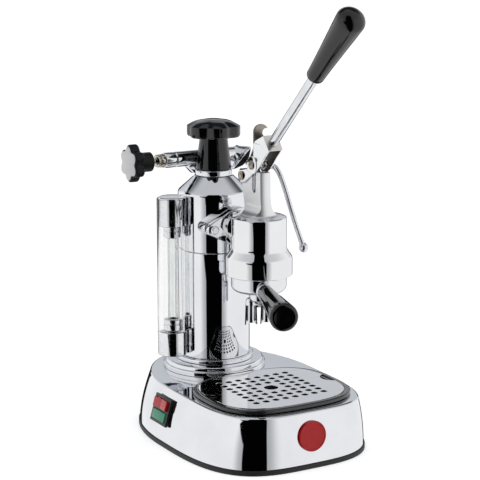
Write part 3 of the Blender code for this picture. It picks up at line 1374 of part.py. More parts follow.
def make_flange_parts():
    """Gasket between the plates and the two bolts that hold the group on the boiler."""
    near = FLANGE_FACE + GAP
    gasket = diamond("group_gasket_flange", near, near + GASKET_THICKNESS, GAP * 2.0)
    cut(gasket, rod("gasket_port", PORT_BORE, FLANGE_FACE - OVERRUN, FLANGE_FACE + OVERRUN, SMALL_POINTS,
                    (0.0, 0.0, PORT_HEIGHT), FORWARD_TURN))
    for side in (-1.0, 1.0):
        cut(gasket, bolt_hole("gasket_bolt_hole", side))
    finish(gasket, "rubber")

    head_foot = GROUP_FLANGE_FRONT + GAP
    bolt_profile = [
        (0.0, head_foot + BOLT_HEAD_LENGTH),
        (BOLT_HEAD_RADIUS * BOLT_HEAD_TOP_SHARE, head_foot + BOLT_HEAD_LENGTH),
        (BOLT_HEAD_RADIUS, head_foot + BOLT_HEAD_LENGTH * BOLT_HEAD_SIDE_SHARE),
        (BOLT_HEAD_RADIUS, head_foot),
        (BOLT_RADIUS, head_foot),
        (BOLT_RADIUS, FLANGE_FACE - BOLT_DEPTH),
        (0.0, FLANGE_FACE - BOLT_DEPTH),
    ]
    for side, sign in (("left", -1.0), ("right", 1.0)):
        place = (sign * EAR_SPACING, 0.0, PORT_HEIGHT)
        bolt = turned("group_bolt_" + side, bolt_profile, SMALL_POINTS, False, place, FORWARD_TURN)
        finish(bolt, "steel")


def by_pivot(ahead, up):
    """Side view point at a distance ahead of and above the fork's pivot."""
    return FORK_PIVOT_AHEAD + ahead, FORK_PIVOT_HEIGHT + up


def lug_outline():
    """Side view of the lug behind the group's neck: (ahead, height) round the fork's pivot."""
    neck_back = GROUP_AHEAD - SLOT_HALF_WIDTH - GAP
    arc = []
    for index in range(LUG_POINTS + 1):
        angle = (LUG_START_ANGLE + LUG_TURN_ANGLE * index / LUG_POINTS) * DEG
        arc.append(by_pivot(LUG_RADIUS * math.cos(angle), LUG_RADIUS * math.sin(angle)))
    return [
        (neck_back, GROUP_NECK_FOOT + GAP),
        (neck_back, GROUP_NECK_TOP - LUG_RADIUS),
    ] + arc + [(GROUP_AHEAD - GROUP_NECK_FOOT_RADIUS, GROUP_NECK_FOOT + GROUP_NECK_FOOT_ROUND)]


def side_sheet(name, outline, left, right):
    """Extrude a side view of (ahead, height) points between two x values."""
    return sheet(name, [[(-ahead, height) for ahead, height in outline]], left, right,
                 (0.0, 0.0, 0.0), SIDE_TURN)


def neck_flat(sign):
    """Front view of the space beside the neck: upright flat with a concave run-out at its foot."""
    run_out = GROUP_NECK_FOOT_RADIUS - FLAT_HALF_THICKNESS
    top = GROUP_NECK_TOP + OVERRUN
    far = GROUP_NECK_FOOT_RADIUS + run_out
    outline = [(far, top), (FLAT_HALF_THICKNESS, top)]
    for index in range(FLAT_RUN_OUT_POINTS + 1):
        angle = math.pi + math.pi / 2.0 * index / FLAT_RUN_OUT_POINTS
        x = GROUP_NECK_FOOT_RADIUS + run_out * math.cos(angle)
        outline.append((x, FLAT_FOOT + run_out * math.sin(angle)))
    outline.append((far, FLAT_FOOT - run_out))
    return [(sign * x, height) for x, height in outline]


def neck_slot():
    """Side view of the slot that the piston pin runs in: round at its foot, open at the top."""
    middle = SLOT_FOOT + SLOT_HALF_WIDTH
    lower_half = [(GROUP_AHEAD + x, middle + y) for x, y in circle(0.0, 0.0, SLOT_HALF_WIDTH, SMALL_POINTS)
                  if y < MERGE]
    top = GROUP_NECK_TOP + OVERRUN
    return sorted(lower_half) + [(GROUP_AHEAD + SLOT_HALF_WIDTH, top), (GROUP_AHEAD - SLOT_HALF_WIDTH, top)]


def make_group():
    """Bell with its cylinder, slotted neck, rear lug and inlet flange, and the gland in its roof."""
    place = (0.0, GROUP_Y, 0.0)
    gland_top = CYLINDER_ROOF + GLAND_RING_TALL + GAP
    rod_bore = ROD_RADIUS + GAP
    bell = round_corners([
        (rod_bore, GROUP_NECK_TOP),
        (GROUP_NECK_TOP_RADIUS, GROUP_NECK_TOP, GROUP_NECK_EDGE_ROUND),
        (GROUP_NECK_WAIST_RADIUS, GROUP_NECK_WAIST, GROUP_NECK_WAIST_ROUND),
        (GROUP_NECK_FOOT_RADIUS, GROUP_NECK_FOOT, GROUP_NECK_FOOT_ROUND),
        (BELL_RADIUS, BELL_TOP, BELL_EDGE_ROUND),
        (BELL_RADIUS, BELL_FLARE_TOP, BELL_FLARE_ROUND),
        (BELL_SKIRT_RADIUS, BELL_FLARE_FOOT, BELL_FLARE_ROUND),
        (BELL_SKIRT_RADIUS, BELL_FOOT, BELL_FOOT_ROUND),
        (SEAT_BORE, BELL_FOOT),
        (SEAT_BORE, SEAT_TOP),
        (CYLINDER_BORE, SEAT_TOP),
        (CYLINDER_BORE, CYLINDER_ROOF),
        (GLAND_RING_RADIUS + GAP, CYLINDER_ROOF),
        (GLAND_RING_RADIUS + GAP, gland_top),
        (rod_bore, gland_top),
    ])
    group = turned("group_body", bell, BIG_POINTS, True, place)
    port = (0.0, 0.0, PORT_HEIGHT)
    neck_start = GROUP_FLANGE_BACK + GROUP_PLATE / 2.0
    neck_end = GROUP_AHEAD - CYLINDER_BORE - GAP * 2.0
    join(group, rod("inlet_neck", INLET_RADIUS, neck_start, neck_end, MID_POINTS, port, FORWARD_TURN))
    join(group, diamond("group_diamond", GROUP_FLANGE_BACK, GROUP_FLANGE_FRONT, 0.0))
    join(group, side_sheet("pivot_lug", lug_outline(), -LUG_HALF_THICKNESS, LUG_HALF_THICKNESS))
    for side in (-1.0, 1.0):
        cut(group, sheet("neck_flat", [neck_flat(side)], GROUP_AHEAD - FLAT_REACH, GROUP_AHEAD + FLAT_REACH,
                         (0.0, 0.0, 0.0), FORWARD_TURN))
    cut(group, rod("inlet_port", PORT_BORE, GROUP_FLANGE_BACK - OVERRUN, GROUP_AHEAD, SMALL_POINTS, port,
                   FORWARD_TURN))
    for side in (-1.0, 1.0):
        cut(group, bolt_hole("group_bolt_hole", side))
    reach = GROUP_NECK_FOOT_RADIUS
    cut(group, side_sheet("neck_slot", neck_slot(), -reach, reach))
    cut(group, rod("head_room", ROD_HEAD_RADIUS + GAP, ROD_HEAD_ROOM, GROUP_NECK_TOP + OVERRUN, MID_POINTS,
                   place))
    cut(group, rod("lug_hole", FORK_PIN_RADIUS + GAP, -reach, reach, SMALL_POINTS,
                   (0.0, FORK_PIVOT_Y, FORK_PIVOT_HEIGHT), RIGHT_TURN))
    finish(group, "chrome")

    gland_foot = CYLINDER_ROOF + GAP
    gland = [
        (rod_bore, gland_foot + GLAND_RING_TALL - GAP),
        (GLAND_RING_RADIUS, gland_foot + GLAND_RING_TALL - GAP),
        (GLAND_RING_RADIUS, gland_foot),
        (rod_bore, gland_foot),
    ]
    finish(turned("rod_gland", gland, MID_POINTS, True, place), "brass")


def make_piston():
    """Piston with two seals, the rod with its ball-shaped head and the pin through it."""
    place = (0.0, GROUP_Y, 0.0)
    radius = CYLINDER_BORE - PISTON_CLEARANCE
    foot = PISTON_TOP - PISTON_TALL
    groove = radius - SEAL_DEPTH
    profile = [(0.0, PISTON_TOP), (radius, PISTON_TOP)]
    grooves = (PISTON_TOP - SEAL_EDGE - SEAL_TALL, foot + SEAL_EDGE)
    for low in grooves:
        profile += [(radius, low + SEAL_TALL), (groove, low + SEAL_TALL), (groove, low), (radius, low)]
    profile += [
        (radius, foot),
        (0.0, foot),
    ]
    piston = turned("piston", profile, MID_POINTS, False, place)
    cut(piston, rod("rod_socket", ROD_RADIUS + GAP, PISTON_TOP - ROD_FOOT_DEPTH, PISTON_TOP + OVERRUN,
                    SMALL_POINTS, place))
    finish(piston, "brass")

    seals = []
    for side, low in zip(("upper", "lower"), grooves):
        ring = [
            (groove + GAP, low + SEAL_TALL - GAP),
            (radius, low + SEAL_TALL - GAP),
            (radius, low + GAP),
            (groove + GAP, low + GAP),
        ]
        seal = turned("piston_seal_" + side, ring, MID_POINTS, True, place)
        seals.append(finish(seal, "rubber"))

    pin_y, pin_z = GROUP_Y, PISTON_PIN_HEIGHT
    head = turned_arc(ROD_HEAD_RADIUS, ROD_HEAD_START, ROD_HEAD_END, ROD_HEAD_POINTS, pin_z)
    foot = PISTON_TOP - ROD_FOOT_DEPTH + GAP
    rod_profile = head + [(ROD_RADIUS, head[-1][1] - ROD_RADIUS / 2.0), (ROD_RADIUS, foot), (0.0, foot)]
    piston_rod = turned("piston_rod", rod_profile, SMALL_POINTS, False, place)
    reach = FORK_INSIDE + FORK_SHEET + PIN_OUT
    cut(piston_rod, rod("pin_eye", PISTON_PIN_RADIUS + GAP, -reach, reach, SMALL_POINTS,
                        (0.0, pin_y, pin_z), RIGHT_TURN))
    finish(piston_rod, "steel")
    pin_set = make_pin("piston_pin", PISTON_PIN_RADIUS, pin_y, pin_z)
    return [piston, piston_rod] + seals + pin_set


def make_pin(name, radius, y, z):
    """Pin across the fork with its head outside the left cheek and a clip outside the right one."""
    face = FORK_INSIDE + FORK_SHEET + GAP
    edge = face + CLIP_THICKNESS
    place = (0.0, y, z)
    pin = turned(name, [
        (0.0, edge + PIN_OUT),
        (radius, edge + PIN_OUT),
        (radius, -face),
        (CLIP_RADIUS, -face),
        (CLIP_RADIUS, -edge),
        (CLIP_RADIUS - GAP, -edge - GAP),
        (0.0, -edge - GAP),
    ], SMALL_POINTS, False, place, RIGHT_TURN)
    finish(pin, "steel")
    clip = turned(name + "_clip", [
        (radius + GAP, edge),
        (CLIP_RADIUS, edge),
        (CLIP_RADIUS, face),
        (radius + GAP, face),
    ], SMALL_POINTS, True, place, RIGHT_TURN)
    finish(clip, "steel")
    return [pin, clip]


def make_screen():
    """Perforated disc and the seal ring in the bell's mouth."""
    place = (0.0, GROUP_Y, 0.0)
    radius = SEAT_BORE - GAP
    top = SEAT_TOP - GAP
    foot = top - SCREEN_THICKNESS
    outlines = [circle(0.0, 0.0, radius, MID_POINTS), circle(0.0, 0.0, SCREEN_HOLE_RADIUS, 6)]
    for ring_radius, count in SCREEN_RINGS:
        outlines += [circle(x, y, SCREEN_HOLE_RADIUS, 6) for x, y in circle(0.0, 0.0, ring_radius, count)]
    finish(sheet("shower_screen", outlines, foot, top, place), "steel")
    ring_top = foot - GAP
    ring_foot = ring_top - GROUP_GASKET_TALL
    ring = [
        (GROUP_GASKET_BORE, ring_top),
        (radius, ring_top),
        (radius, ring_foot),
        (GROUP_GASKET_BORE, ring_foot),
    ]
    finish(turned("group_gasket", ring, MID_POINTS, True, place), "rubber")


def fork_outline():
    """Side view of a cheek: round the pivot, up the front edge, over the fold and down the back."""
    outline = []
    for index in range(EYE_POINTS + 1):
        angle = (EYE_START_ANGLE + EYE_TURN_ANGLE * index / EYE_POINTS) * DEG
        outline.append((FORK_EYE_RADIUS * math.cos(angle), FORK_EYE_RADIUS * math.sin(angle)))
    outline += [FORK_FRONT_LOWER, FORK_FRONT_UPPER, FORK_FOLD_FOOT]
    outline += [FORK_FOLD_TOP, FORK_BACK_TOP, FORK_BACK_EDGE]
    return [by_pivot(ahead, up) for ahead, up in outline]


def pin_slot():
    """Side view of the slot that lets the piston pin keep to its straight line."""
    pin = Vector((GROUP_AHEAD, PISTON_PIN_HEIGHT))
    along = (pin - Vector((FORK_PIVOT_AHEAD, FORK_PIVOT_HEIGHT))).normalized()
    tilt = math.atan2(along.y, along.x)
    outline = []
    half_turn = math.pi
    front = (pin + along * PIN_SLOT_FRONT, -half_turn / 2.0)
    back = (pin - along * PIN_SLOT_BACK, half_turn / 2.0)
    for centre, start in (front, back):
        for index in range(PIN_SLOT_POINTS + 1):
            angle = start + half_turn * index / PIN_SLOT_POINTS + tilt
            radius = PIN_SLOT_HALF_WIDTH
            outline.append((centre.x + radius * math.cos(angle), centre.y + radius * math.sin(angle)))
    return outline


def make_fork():
    """Folded sheet fork with its hooked tab, and the pin it turns on."""
    inside, outside = FORK_INSIDE, FORK_INSIDE + FORK_SHEET
    fork = side_sheet("lever_fork", fork_outline(), -outside, outside)
    foot, top = Vector(by_pivot(*FORK_FOLD_FOOT)), Vector(by_pivot(*FORK_FOLD_TOP))
    up = (top - foot).normalized()
    inward = Vector((-up.y, up.x))
    if inward.x > 0.0:
        inward = -inward
    corner = foot + inward * FORK_SHEET
    far = top + inward * FORK_SHEET
    reach = FORK_EYE_RADIUS * 12.0
    hollow = [
        tuple(corner - up * reach),
        tuple(far + up * reach),
        tuple(far + up * reach + inward * reach),
        tuple(corner - up * reach + inward * reach),
    ]
    cut(fork, side_sheet("fork_hollow", hollow, -inside, inside))
    half = outside
    tab = [(-half, TAB_FOOT), (half, TAB_FOOT), (half, TAB_SHOULDER)]
    for index in range(1, TAB_ARC_POINTS):
        angle = math.pi * index / TAB_ARC_POINTS
        tab.append((half * math.cos(angle), TAB_SHOULDER + (TAB_TOP - TAB_SHOULDER) * math.sin(angle)))
    tab.append((-half, TAB_SHOULDER))
    tab_back = by_pivot(*FORK_BACK_TOP)[0]
    tab_front = tab_back + FORK_SHEET
    tab_place = (0.0, 0.0, FORK_PIVOT_HEIGHT)
    tab_piece = sheet("fork_tab", [tab], tab_back + GAP, tab_front, tab_place, FORWARD_TURN)
    notch_height = FORK_PIVOT_HEIGHT + TAB_NOTCH_HEIGHT
    cut_tab = rod("tab_notch", TAB_NOTCH_RADIUS, tab_back - OVERRUN, tab_front + OVERRUN,
                  SMALL_POINTS, (TAB_NOTCH_X, 0.0, notch_height), FORWARD_TURN)
    join(fork, tab_piece)
    cut(fork, cut_tab)
    for side in (-1.0, 1.0):
        low, high = sorted((side * (inside - GAP), side * (outside + OVERRUN)))
        cut(fork, side_sheet("pin_slot", pin_slot(), low, high))
        cut(fork, rod("fork_eye", FORK_PIN_RADIUS + GAP, low, high, SMALL_POINTS,
                      (0.0, FORK_PIVOT_Y, FORK_PIVOT_HEIGHT), RIGHT_TURN))
    place, turn = lever_seat()
    cut(fork, rod("spigot_hole", LEVER_SPIGOT_RADIUS + GAP, -OVERRUN * 2.0, OVERRUN, SMALL_POINTS,
                  place, turn))
    finish(fork, "chrome")
    return [fork] + make_pin("pivot_pin", FORK_PIN_RADIUS, FORK_PIVOT_Y, FORK_PIVOT_HEIGHT)


def lever_seat():
    """Place on the fork's fold where the rod starts, and the turn that points local z along it."""
    middle = (Vector(by_pivot(*FORK_FOLD_FOOT)) + Vector(by_pivot(*FORK_FOLD_TOP))) / 2.0
    angle = LEVER_ANGLE * DEG
    place = Vector((0.0, -middle.x, middle.y))
    return place, facing((0.0, -math.cos(angle), math.sin(angle)))


def make_lever():
    """Rod screwed into the fork and the tapered grip on its end."""
    place, turn = lever_seat()
    fold_run = FORK_FOLD_FOOT[0] - FORK_FOLD_TOP[0]
    fold_rise = FORK_FOLD_TOP[1] - FORK_FOLD_FOOT[1]
    fold_error = LEVER_ANGLE * DEG - math.atan2(fold_run, fold_rise)
    lean = abs(math.tan(fold_error)) * LEVER_ROD_RADIUS
    start = GAP + lean
    lever = turned("lever_rod", [
        (0.0, LEVER_ROD_LENGTH),
        (LEVER_ROD_RADIUS, LEVER_ROD_LENGTH),
        (LEVER_ROD_RADIUS, start),
        (LEVER_SPIGOT_RADIUS, start),
        (LEVER_SPIGOT_RADIUS, -LEVER_SPIGOT_LENGTH),
        (0.0, -LEVER_SPIGOT_LENGTH),
    ], SMALL_POINTS, False, place, turn)
    finish(lever, "chrome")
    grip = grip_profile(GRIP_START, GRIP_END, GRIP_SMALL_RADIUS, GRIP_LARGE_RADIUS, GRIP_DOME,
                        GRIP_LARGE_RADIUS, LEVER_ROD_RADIUS + GAP, LEVER_ROD_LENGTH + GAP, GRIP_MOUTH_ROUND)
    handle = turned("lever_grip", grip, MID_POINTS, False, place, turn)
    finish(handle, "black_plastic")
    return [lever, handle]


def grip_profile(start, end, small, large, dome, edge, bore, bore_end, mouth_round):
    """Tapered grip with a blind bore at its small end; its end is rounded over the edge's width."""
    swell = end - dome
    profile = [(0.0, end)]
    if edge < large:
        profile.append((large - edge, end))
    for index in range(1, GRIP_DOME_POINTS + 1):
        angle = math.pi / 2.0 * index / GRIP_DOME_POINTS
        profile.append((large - edge + edge * math.sin(angle), swell + dome * math.cos(angle)))
    for share in GRIP_TAPER_SHARES:
        radius = small + (large - small) * share ** GRIP_TAPER_POWER
        profile.append((radius, start + (swell - start) * share))
    profile += [
        (small, start + mouth_round),
        (small - mouth_round / 2.0, start),
        (bore, start),
        (bore, bore_end),
        (0.0, bore_end),
    ]
    return profile


def handle_turn():
    """Turn that points local z along the handle."""
    angle = PORTAFILTER_TURN * DEG
    return facing((-math.sin(angle), -math.cos(angle), 0.0))


def make_portafilter():
    """Bowl with its handle socket and outlet boss, the filter basket, ferrule and handle."""
    place = (0.0, GROUP_Y, 0.0)
    level = (0.0, GROUP_Y, PF_HANDLE_HEIGHT)
    turn = handle_turn()
    bowl = round_corners([
        (PF_BORE, PF_RIM_TOP),
        (PF_RIM_RADIUS, PF_RIM_TOP),
        (PF_RIM_RADIUS, PF_TOP),
        (PF_RADIUS, PF_TOP, PF_TOP_ROUND),
        (PF_RADIUS, PF_FOOT, PF_FOOT_ROUND),
        (PF_BOSS_RADIUS, PF_FOOT),
        (PF_BOSS_RADIUS, PF_BOSS_FOOT),
        (PF_OUTLET, PF_BOSS_FOOT),
        (PF_OUTLET, PF_FLOOR),
        (PF_BORE, PF_FLOOR, PF_FLOOR_ROUND),
    ])
    body = turned("portafilter_body", bowl, BIG_POINTS, True, place)
    socket_start = PF_BORE + GAP * 2.0
    join(body, rod("handle_socket", PF_SOCKET_RADIUS, socket_start, PF_SOCKET_END, SMALL_POINTS, level, turn))
    stud_start = PF_SOCKET_END - OVERRUN
    join(body, rod("handle_stud", PF_STUD_RADIUS, stud_start, PF_STUD_END, SMALL_POINTS, level, turn))
    finish(body, "chrome")

    basket_radius = PF_BORE - GAP
    rim_foot = PF_RIM_TOP + GAP
    basket = round_corners([
        (0.0, BASKET_FLOOR + BASKET_WALL),
        (basket_radius - BASKET_WALL - BASKET_CORNER_WIDE, BASKET_FLOOR + BASKET_WALL),
        (basket_radius - BASKET_WALL, BASKET_FLOOR + BASKET_CORNER_TALL),
        (basket_radius - BASKET_WALL, rim_foot + BASKET_RIM_THICKNESS),
        (PF_RIM_RADIUS, rim_foot + BASKET_RIM_THICKNESS),
        (PF_RIM_RADIUS, rim_foot),
        (basket_radius, rim_foot),
        (basket_radius, BASKET_FLOOR + BASKET_CORNER_TALL),
        (basket_radius - BASKET_CORNER_WIDE, BASKET_FLOOR),
        (0.0, BASKET_FLOOR),
    ], closed=False)
    cup = turned("filter_basket", basket, MID_POINTS, False, place)
    for x, y in circle(0.0, 0.0, BASKET_HOLE_RING, BASKET_HOLES):
        cut(cup, rod("basket_hole", SCREEN_HOLE_RADIUS, BASKET_FLOOR - OVERRUN, BASKET_FLOOR + OVERRUN,
                     TINY_POINTS, (x, GROUP_Y + y, 0.0)))
    finish(cup, "steel")

    ferrule_start = PF_SOCKET_END + GAP
    bore = PF_STUD_RADIUS + GAP
    ring = round_corners([
        (bore, FERRULE_END),
        (FERRULE_RADIUS, FERRULE_END, FERRULE_ROUND),
        (FERRULE_RADIUS, ferrule_start, FERRULE_ROUND),
        (bore, ferrule_start),
    ])
    ferrule = finish(turned("handle_ferrule", ring, SMALL_POINTS, True, level, turn), "chrome")
    grip = grip_profile(FERRULE_END + GAP, HANDLE_END, HANDLE_START_RADIUS, HANDLE_END_RADIUS,
                        HANDLE_EDGE_ROUND, HANDLE_EDGE_ROUND, bore, PF_STUD_END + GAP, GAP * 2.0)
    handle = turned("portafilter_handle", grip, MID_POINTS, False, level, turn)
    finish(handle, "black_plastic")
    return body, cup, ferrule, handle


def trough_bore(centre, turn, top):
    """Cutter that hollows a trough and widens towards its foot."""
    return turned("trough_bore", [
        (0.0, top),
        (SPOUT_RADIUS - SPOUT_WALL, top),
        (SPOUT_FOOT_RADIUS - SPOUT_WALL, SPOUT_FOOT),
        (SPOUT_FOOT_RADIUS - SPOUT_WALL, SPOUT_FOOT - OVERRUN),
        (0.0, SPOUT_FOOT - OVERRUN),
    ], SMALL_POINTS, False, centre, turn)


def make_spout():
    """Threaded collar under the bowl with a cross bar and two troughs open to the front."""
    angle = PORTAFILTER_TURN * DEG
    place = Vector((0.0, GROUP_Y, 0.0))
    bar = SPOUT_BAR_HEIGHT
    bar_level = Vector((0.0, GROUP_Y, bar))
    side = Vector((math.cos(angle), -math.sin(angle), 0.0))
    along = facing(side)
    reach = SPOUT_HALF_SPACING
    turn = (0.0, 0.0, -angle)
    spout = turned("spout", [
        (0.0, SPOUT_COLLAR_TOP),
        (SPOUT_COLLAR_RADIUS - GAP * 2.0, SPOUT_COLLAR_TOP),
        (SPOUT_COLLAR_RADIUS, SPOUT_COLLAR_TOP - GAP * 2.0),
        (SPOUT_COLLAR_RADIUS, SPOUT_COLLAR_FOOT),
        (SPOUT_COLLAR_FOOT_RADIUS, bar),
        (0.0, bar),
    ], SMALL_POINTS, False, place)
    join(spout, rod("spout_bar", SPOUT_BAR_RADIUS, -reach, reach, SMALL_POINTS, bar_level, along))
    centres = [place + side * (sign * reach) for sign in (-1.0, 1.0)]
    for centre in centres:
        join(spout, turned("spout_trough", [
            (0.0, bar + SPOUT_ARCH_TOP),
            (SPOUT_ARCH_RADIUS, bar + SPOUT_ARCH_RISE),
            (SPOUT_RADIUS, bar),
            (SPOUT_FOOT_RADIUS, SPOUT_FOOT),
            (0.0, SPOUT_FOOT),
        ], SMALL_POINTS, False, centre, turn))
    mouth_top = bar - SPOUT_MOUTH_DROP
    mouth_half = SPOUT_FOOT_RADIUS * SPOUT_MOUTH_SHARE
    mouth_low = (-mouth_half, -SPOUT_FOOT_RADIUS * 2.0, SPOUT_FOOT - OVERRUN)
    mouth_high = (mouth_half, -SPOUT_RADIUS * SPOUT_OPEN_SHARE, mouth_top)
    for centre in centres:
        cut(spout, trough_bore(centre, turn, mouth_top + SPOUT_WALL))
        cut(spout, box("trough_mouth", mouth_low, mouth_high, centre, turn))
    socket_foot = PF_BOSS_FOOT - GAP
    cut(spout, rod("spout_passage", SPOUT_PASSAGE, -reach, reach, TINY_POINTS, bar_level, along))
    cut(spout, rod("spout_drop", PF_OUTLET, bar, socket_foot + OVERRUN, SMALL_POINTS, place))
    cut(spout, rod("spout_socket", PF_BOSS_RADIUS + GAP, socket_foot, SPOUT_COLLAR_TOP + OVERRUN, MID_POINTS,
                   place))
    return finish(spout, "chrome")


def axis_marker(name, place):
    """Empty on a joint's axis, which carries the pieces that move with the joint."""
    marker = bpy.data.objects.new(name, None)
    parts.objects.link(marker)
    marker.location = place
    marker.parent = machine
    return marker


def hang(marker, pieces):
    """Parent pieces to a joint's marker without moving them."""
    for piece in pieces:
        piece.parent = marker
        piece.location = Vector(piece.location) - Vector(marker.location)


def stand_at_origin():
    """Move the machine so that the middle of its footprint is at the origin."""
    view = bpy.context.evaluated_depsgraph_get()
    low = Vector((math.inf, math.inf, math.inf))
    high = -low
    for piece in parts.objects:
        if piece.type == "EMPTY":
            continue
        shown = piece.evaluated_get(view)
        for corner in shown.bound_box:
            point = shown.matrix_world @ Vector(corner)
            low = Vector(map(min, low, point))
            high = Vector(map(max, high, point))
    machine.location = (-(low.x + high.x) / 2.0, -(low.y + high.y) / 2.0, 0.0)


clear_scene()
machine = bpy.data.objects.new("machine", None)
parts.objects.link(machine)

make_base_shell()
make_base_trim()
make_bottom_plate()
bezel, rocker, lamp = make_switch()
make_badge()
make_gland()
tray = make_drip_tray()
grid = make_drip_grid()
make_boiler_foot()
make_boiler()
make_element()
make_cap()
make_sight_glass()
spindle, steam_knob, knob_face = make_steam_valve()
wand, wand_tip = make_wand()
make_safety_valve()
make_flange_parts()
make_group()
piston_pieces = make_piston()
make_screen()
lever_pieces = make_fork() + make_lever()
portafilter_pieces = make_portafilter() + (make_spout(),)

hang(axis_marker("lever_axis", (0.0, FORK_PIVOT_Y, FORK_PIVOT_HEIGHT)), lever_pieces)
hang(axis_marker("piston_axis", (0.0, GROUP_Y, PISTON_TOP)), piston_pieces)
hang(axis_marker("portafilter_axis", (0.0, GROUP_Y, PF_RIM_TOP)), portafilter_pieces)
tap_pieces = (spindle, steam_knob, knob_face)
hang(axis_marker("steam_knob_axis", (-VALVE_LEFT, VALVE_BACK, VALVE_HEIGHT)), tap_pieces)
hang(axis_marker("wand_axis", (VALVE_RIGHT, VALVE_BACK, VALVE_HEIGHT)), (wand, wand_tip))
hang(axis_marker("tray_axis", (0.0, -TRAY_AHEAD, DECK_HEIGHT)), (tray, grid))
hang(axis_marker("rocker_axis", rocker.location.copy()), (rocker,))
cap_pieces = [bpy.data.objects[name] for name in ("boiler_cap", "cap_gasket", "cap_knob")]
hang(axis_marker("cap_axis", (0.0, 0.0, CAP_FOOT)), cap_pieces)
stand_at_origin()
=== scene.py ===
"""Looks of the lever espresso machine: fine meshes, finishes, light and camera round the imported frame.

Metres, +Z up. Every size is in machine coordinates, with the boiler on x = 0, y = 0, the table at z = 0
and the front towards -Y; build() moves the points from there into the frame by HOME. Profiles are corners
of (radius, height) and outlines are corners of (x, height) or (ahead, height), with the radius of a
rounded corner as an optional third number.
"""
import json
import math

import bmesh
import bpy
from mathutils import Matrix, Vector


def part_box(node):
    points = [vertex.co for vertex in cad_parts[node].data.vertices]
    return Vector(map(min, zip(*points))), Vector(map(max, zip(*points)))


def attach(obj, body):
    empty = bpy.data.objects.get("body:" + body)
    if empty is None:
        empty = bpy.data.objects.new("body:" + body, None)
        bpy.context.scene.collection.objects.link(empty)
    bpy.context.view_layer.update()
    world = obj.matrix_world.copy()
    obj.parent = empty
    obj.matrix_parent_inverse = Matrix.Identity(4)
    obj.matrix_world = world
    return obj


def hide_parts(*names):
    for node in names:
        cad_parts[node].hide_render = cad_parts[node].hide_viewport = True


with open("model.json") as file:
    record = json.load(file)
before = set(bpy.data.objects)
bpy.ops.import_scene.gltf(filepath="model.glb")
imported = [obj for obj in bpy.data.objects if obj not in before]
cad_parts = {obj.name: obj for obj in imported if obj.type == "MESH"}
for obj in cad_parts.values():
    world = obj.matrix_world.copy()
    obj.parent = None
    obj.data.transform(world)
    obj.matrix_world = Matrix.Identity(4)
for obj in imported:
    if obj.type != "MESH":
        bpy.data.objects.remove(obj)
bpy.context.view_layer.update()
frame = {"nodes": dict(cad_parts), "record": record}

MM = 0.001
DEG = math.pi / 180.0
GAP = 0.3 * MM  # clearance between pieces that sit on one another
TINY = 1e-7

# Facets round a full turn
FINE = 128
MIDDLE = 72
SMALL = 40

SHARP = 32.0  # degrees above which an edge is drawn sharp, unless a piece says otherwise

boiler_low, boiler_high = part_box("boiler_lower")
HOME = Vector(((boiler_low[0] + boiler_high[0]) / 2.0, (boiler_low[1] + boiler_high[1]) / 2.0, 0.0))
ORIGIN = Vector((0.0, 0.0, 0.0))
UP = Vector((0.0, 0.0, 1.0))
FORWARD = Vector((0.0, -1.0, 0.0))
LEFT = Vector((-1.0, 0.0, 0.0))
RIGHT = Vector((1.0, 0.0, 0.0))
FLAT_TURN = Matrix.Identity(3)
FRONT_TURN = Matrix(((1.0, 0.0, 0.0), (0.0, 0.0, -1.0), (0.0, 1.0, 0.0)))
SIDE_TURN = Matrix(((0.0, 0.0, 1.0), (1.0, 0.0, 0.0), (0.0, 1.0, 0.0)))

BODY_OF = {}
for body_name, node_names in frame["record"]["behaviour"]["bodies"].items():
    for node_name in node_names:
        BODY_OF[node_name] = body_name


# Outlines

def mm(*corners):
    """Corners given in millimetres."""
    return [tuple(value * MM for value in corner) for corner in corners]


def arcs(corners, steps=6, closed=True):
    """Replace each corner that carries a radius by an arc."""
    points = []
    count = len(corners)
    for index, corner in enumerate(corners):
        here = Vector(corner[:2])
        radius = corner[2] if len(corner) > 2 else 0.0
        if radius == 0.0 or (not closed and index in (0, count - 1)):
            points.append((here.x, here.y))
            continue
        before = (Vector(corners[index - 1][:2]) - here).normalized()
        after = (Vector(corners[(index + 1) % count][:2]) - here).normalized()
        half = before.angle(after) / 2.0
        middle = here + (before + after).normalized() * (radius / math.sin(half))
        start = here + before * (radius / math.tan(half)) - middle
        end = here + after * (radius / math.tan(half)) - middle
        sweep = start.angle_signed(end)
        for step in range(steps + 1):
            angle = -sweep * step / steps
            cos, sin = math.cos(angle), math.sin(angle)
            across, along = start.x * cos - start.y * sin, start.x * sin + start.y * cos
            points.append((middle.x + across, middle.y + along))
    return points


def arc_points(centre, radius, first, last, count):
    """Points on an arc, both ends included, angles in degrees."""
    points = []
    for index in range(count + 1):
        angle = (first + (last - first) * index / count) * DEG
        points.append((centre[0] + radius * math.cos(angle), centre[1] + radius * math.sin(angle)))
    return points


def circle(x, y, radius, count):
    """Points round a circle."""
    turns = [2.0 * math.pi * index / count for index in range(count)]
    return [(x + radius * math.cos(angle), y + radius * math.sin(angle)) for angle in turns]


def spline(route, steps):
    """Even curve through a route's points."""
    ends = [route[0] * 2.0 - route[1]] + list(route) + [route[-1] * 2.0 - route[-2]]
    points = []
    for index in range(1, len(ends) - 2):
        a, b, c, d = ends[index - 1:index + 3]
        for step in range(steps):
            t = step / steps
            bend = (a * 2.0 - b * 5.0 + c * 4.0 - d) * t * t
            twist = (b * 3.0 - a - c * 3.0 + d) * t * t * t
            points.append((b * 2.0 + (c - a) * t + bend + twist) / 2.0)
    points.append(route[-1])
    return points


def fade(value, start, end):
    """Share of the way from start to end, kept within 0 and 1."""
    return min(1.0, max(0.0, (value - start) / (end - start)))


# Shapes: each returns points and faces

def axes(direction):
    """Matrix that turns local z along a direction."""
    return UP.rotation_difference(Vector(direction).normalized()).to_matrix()


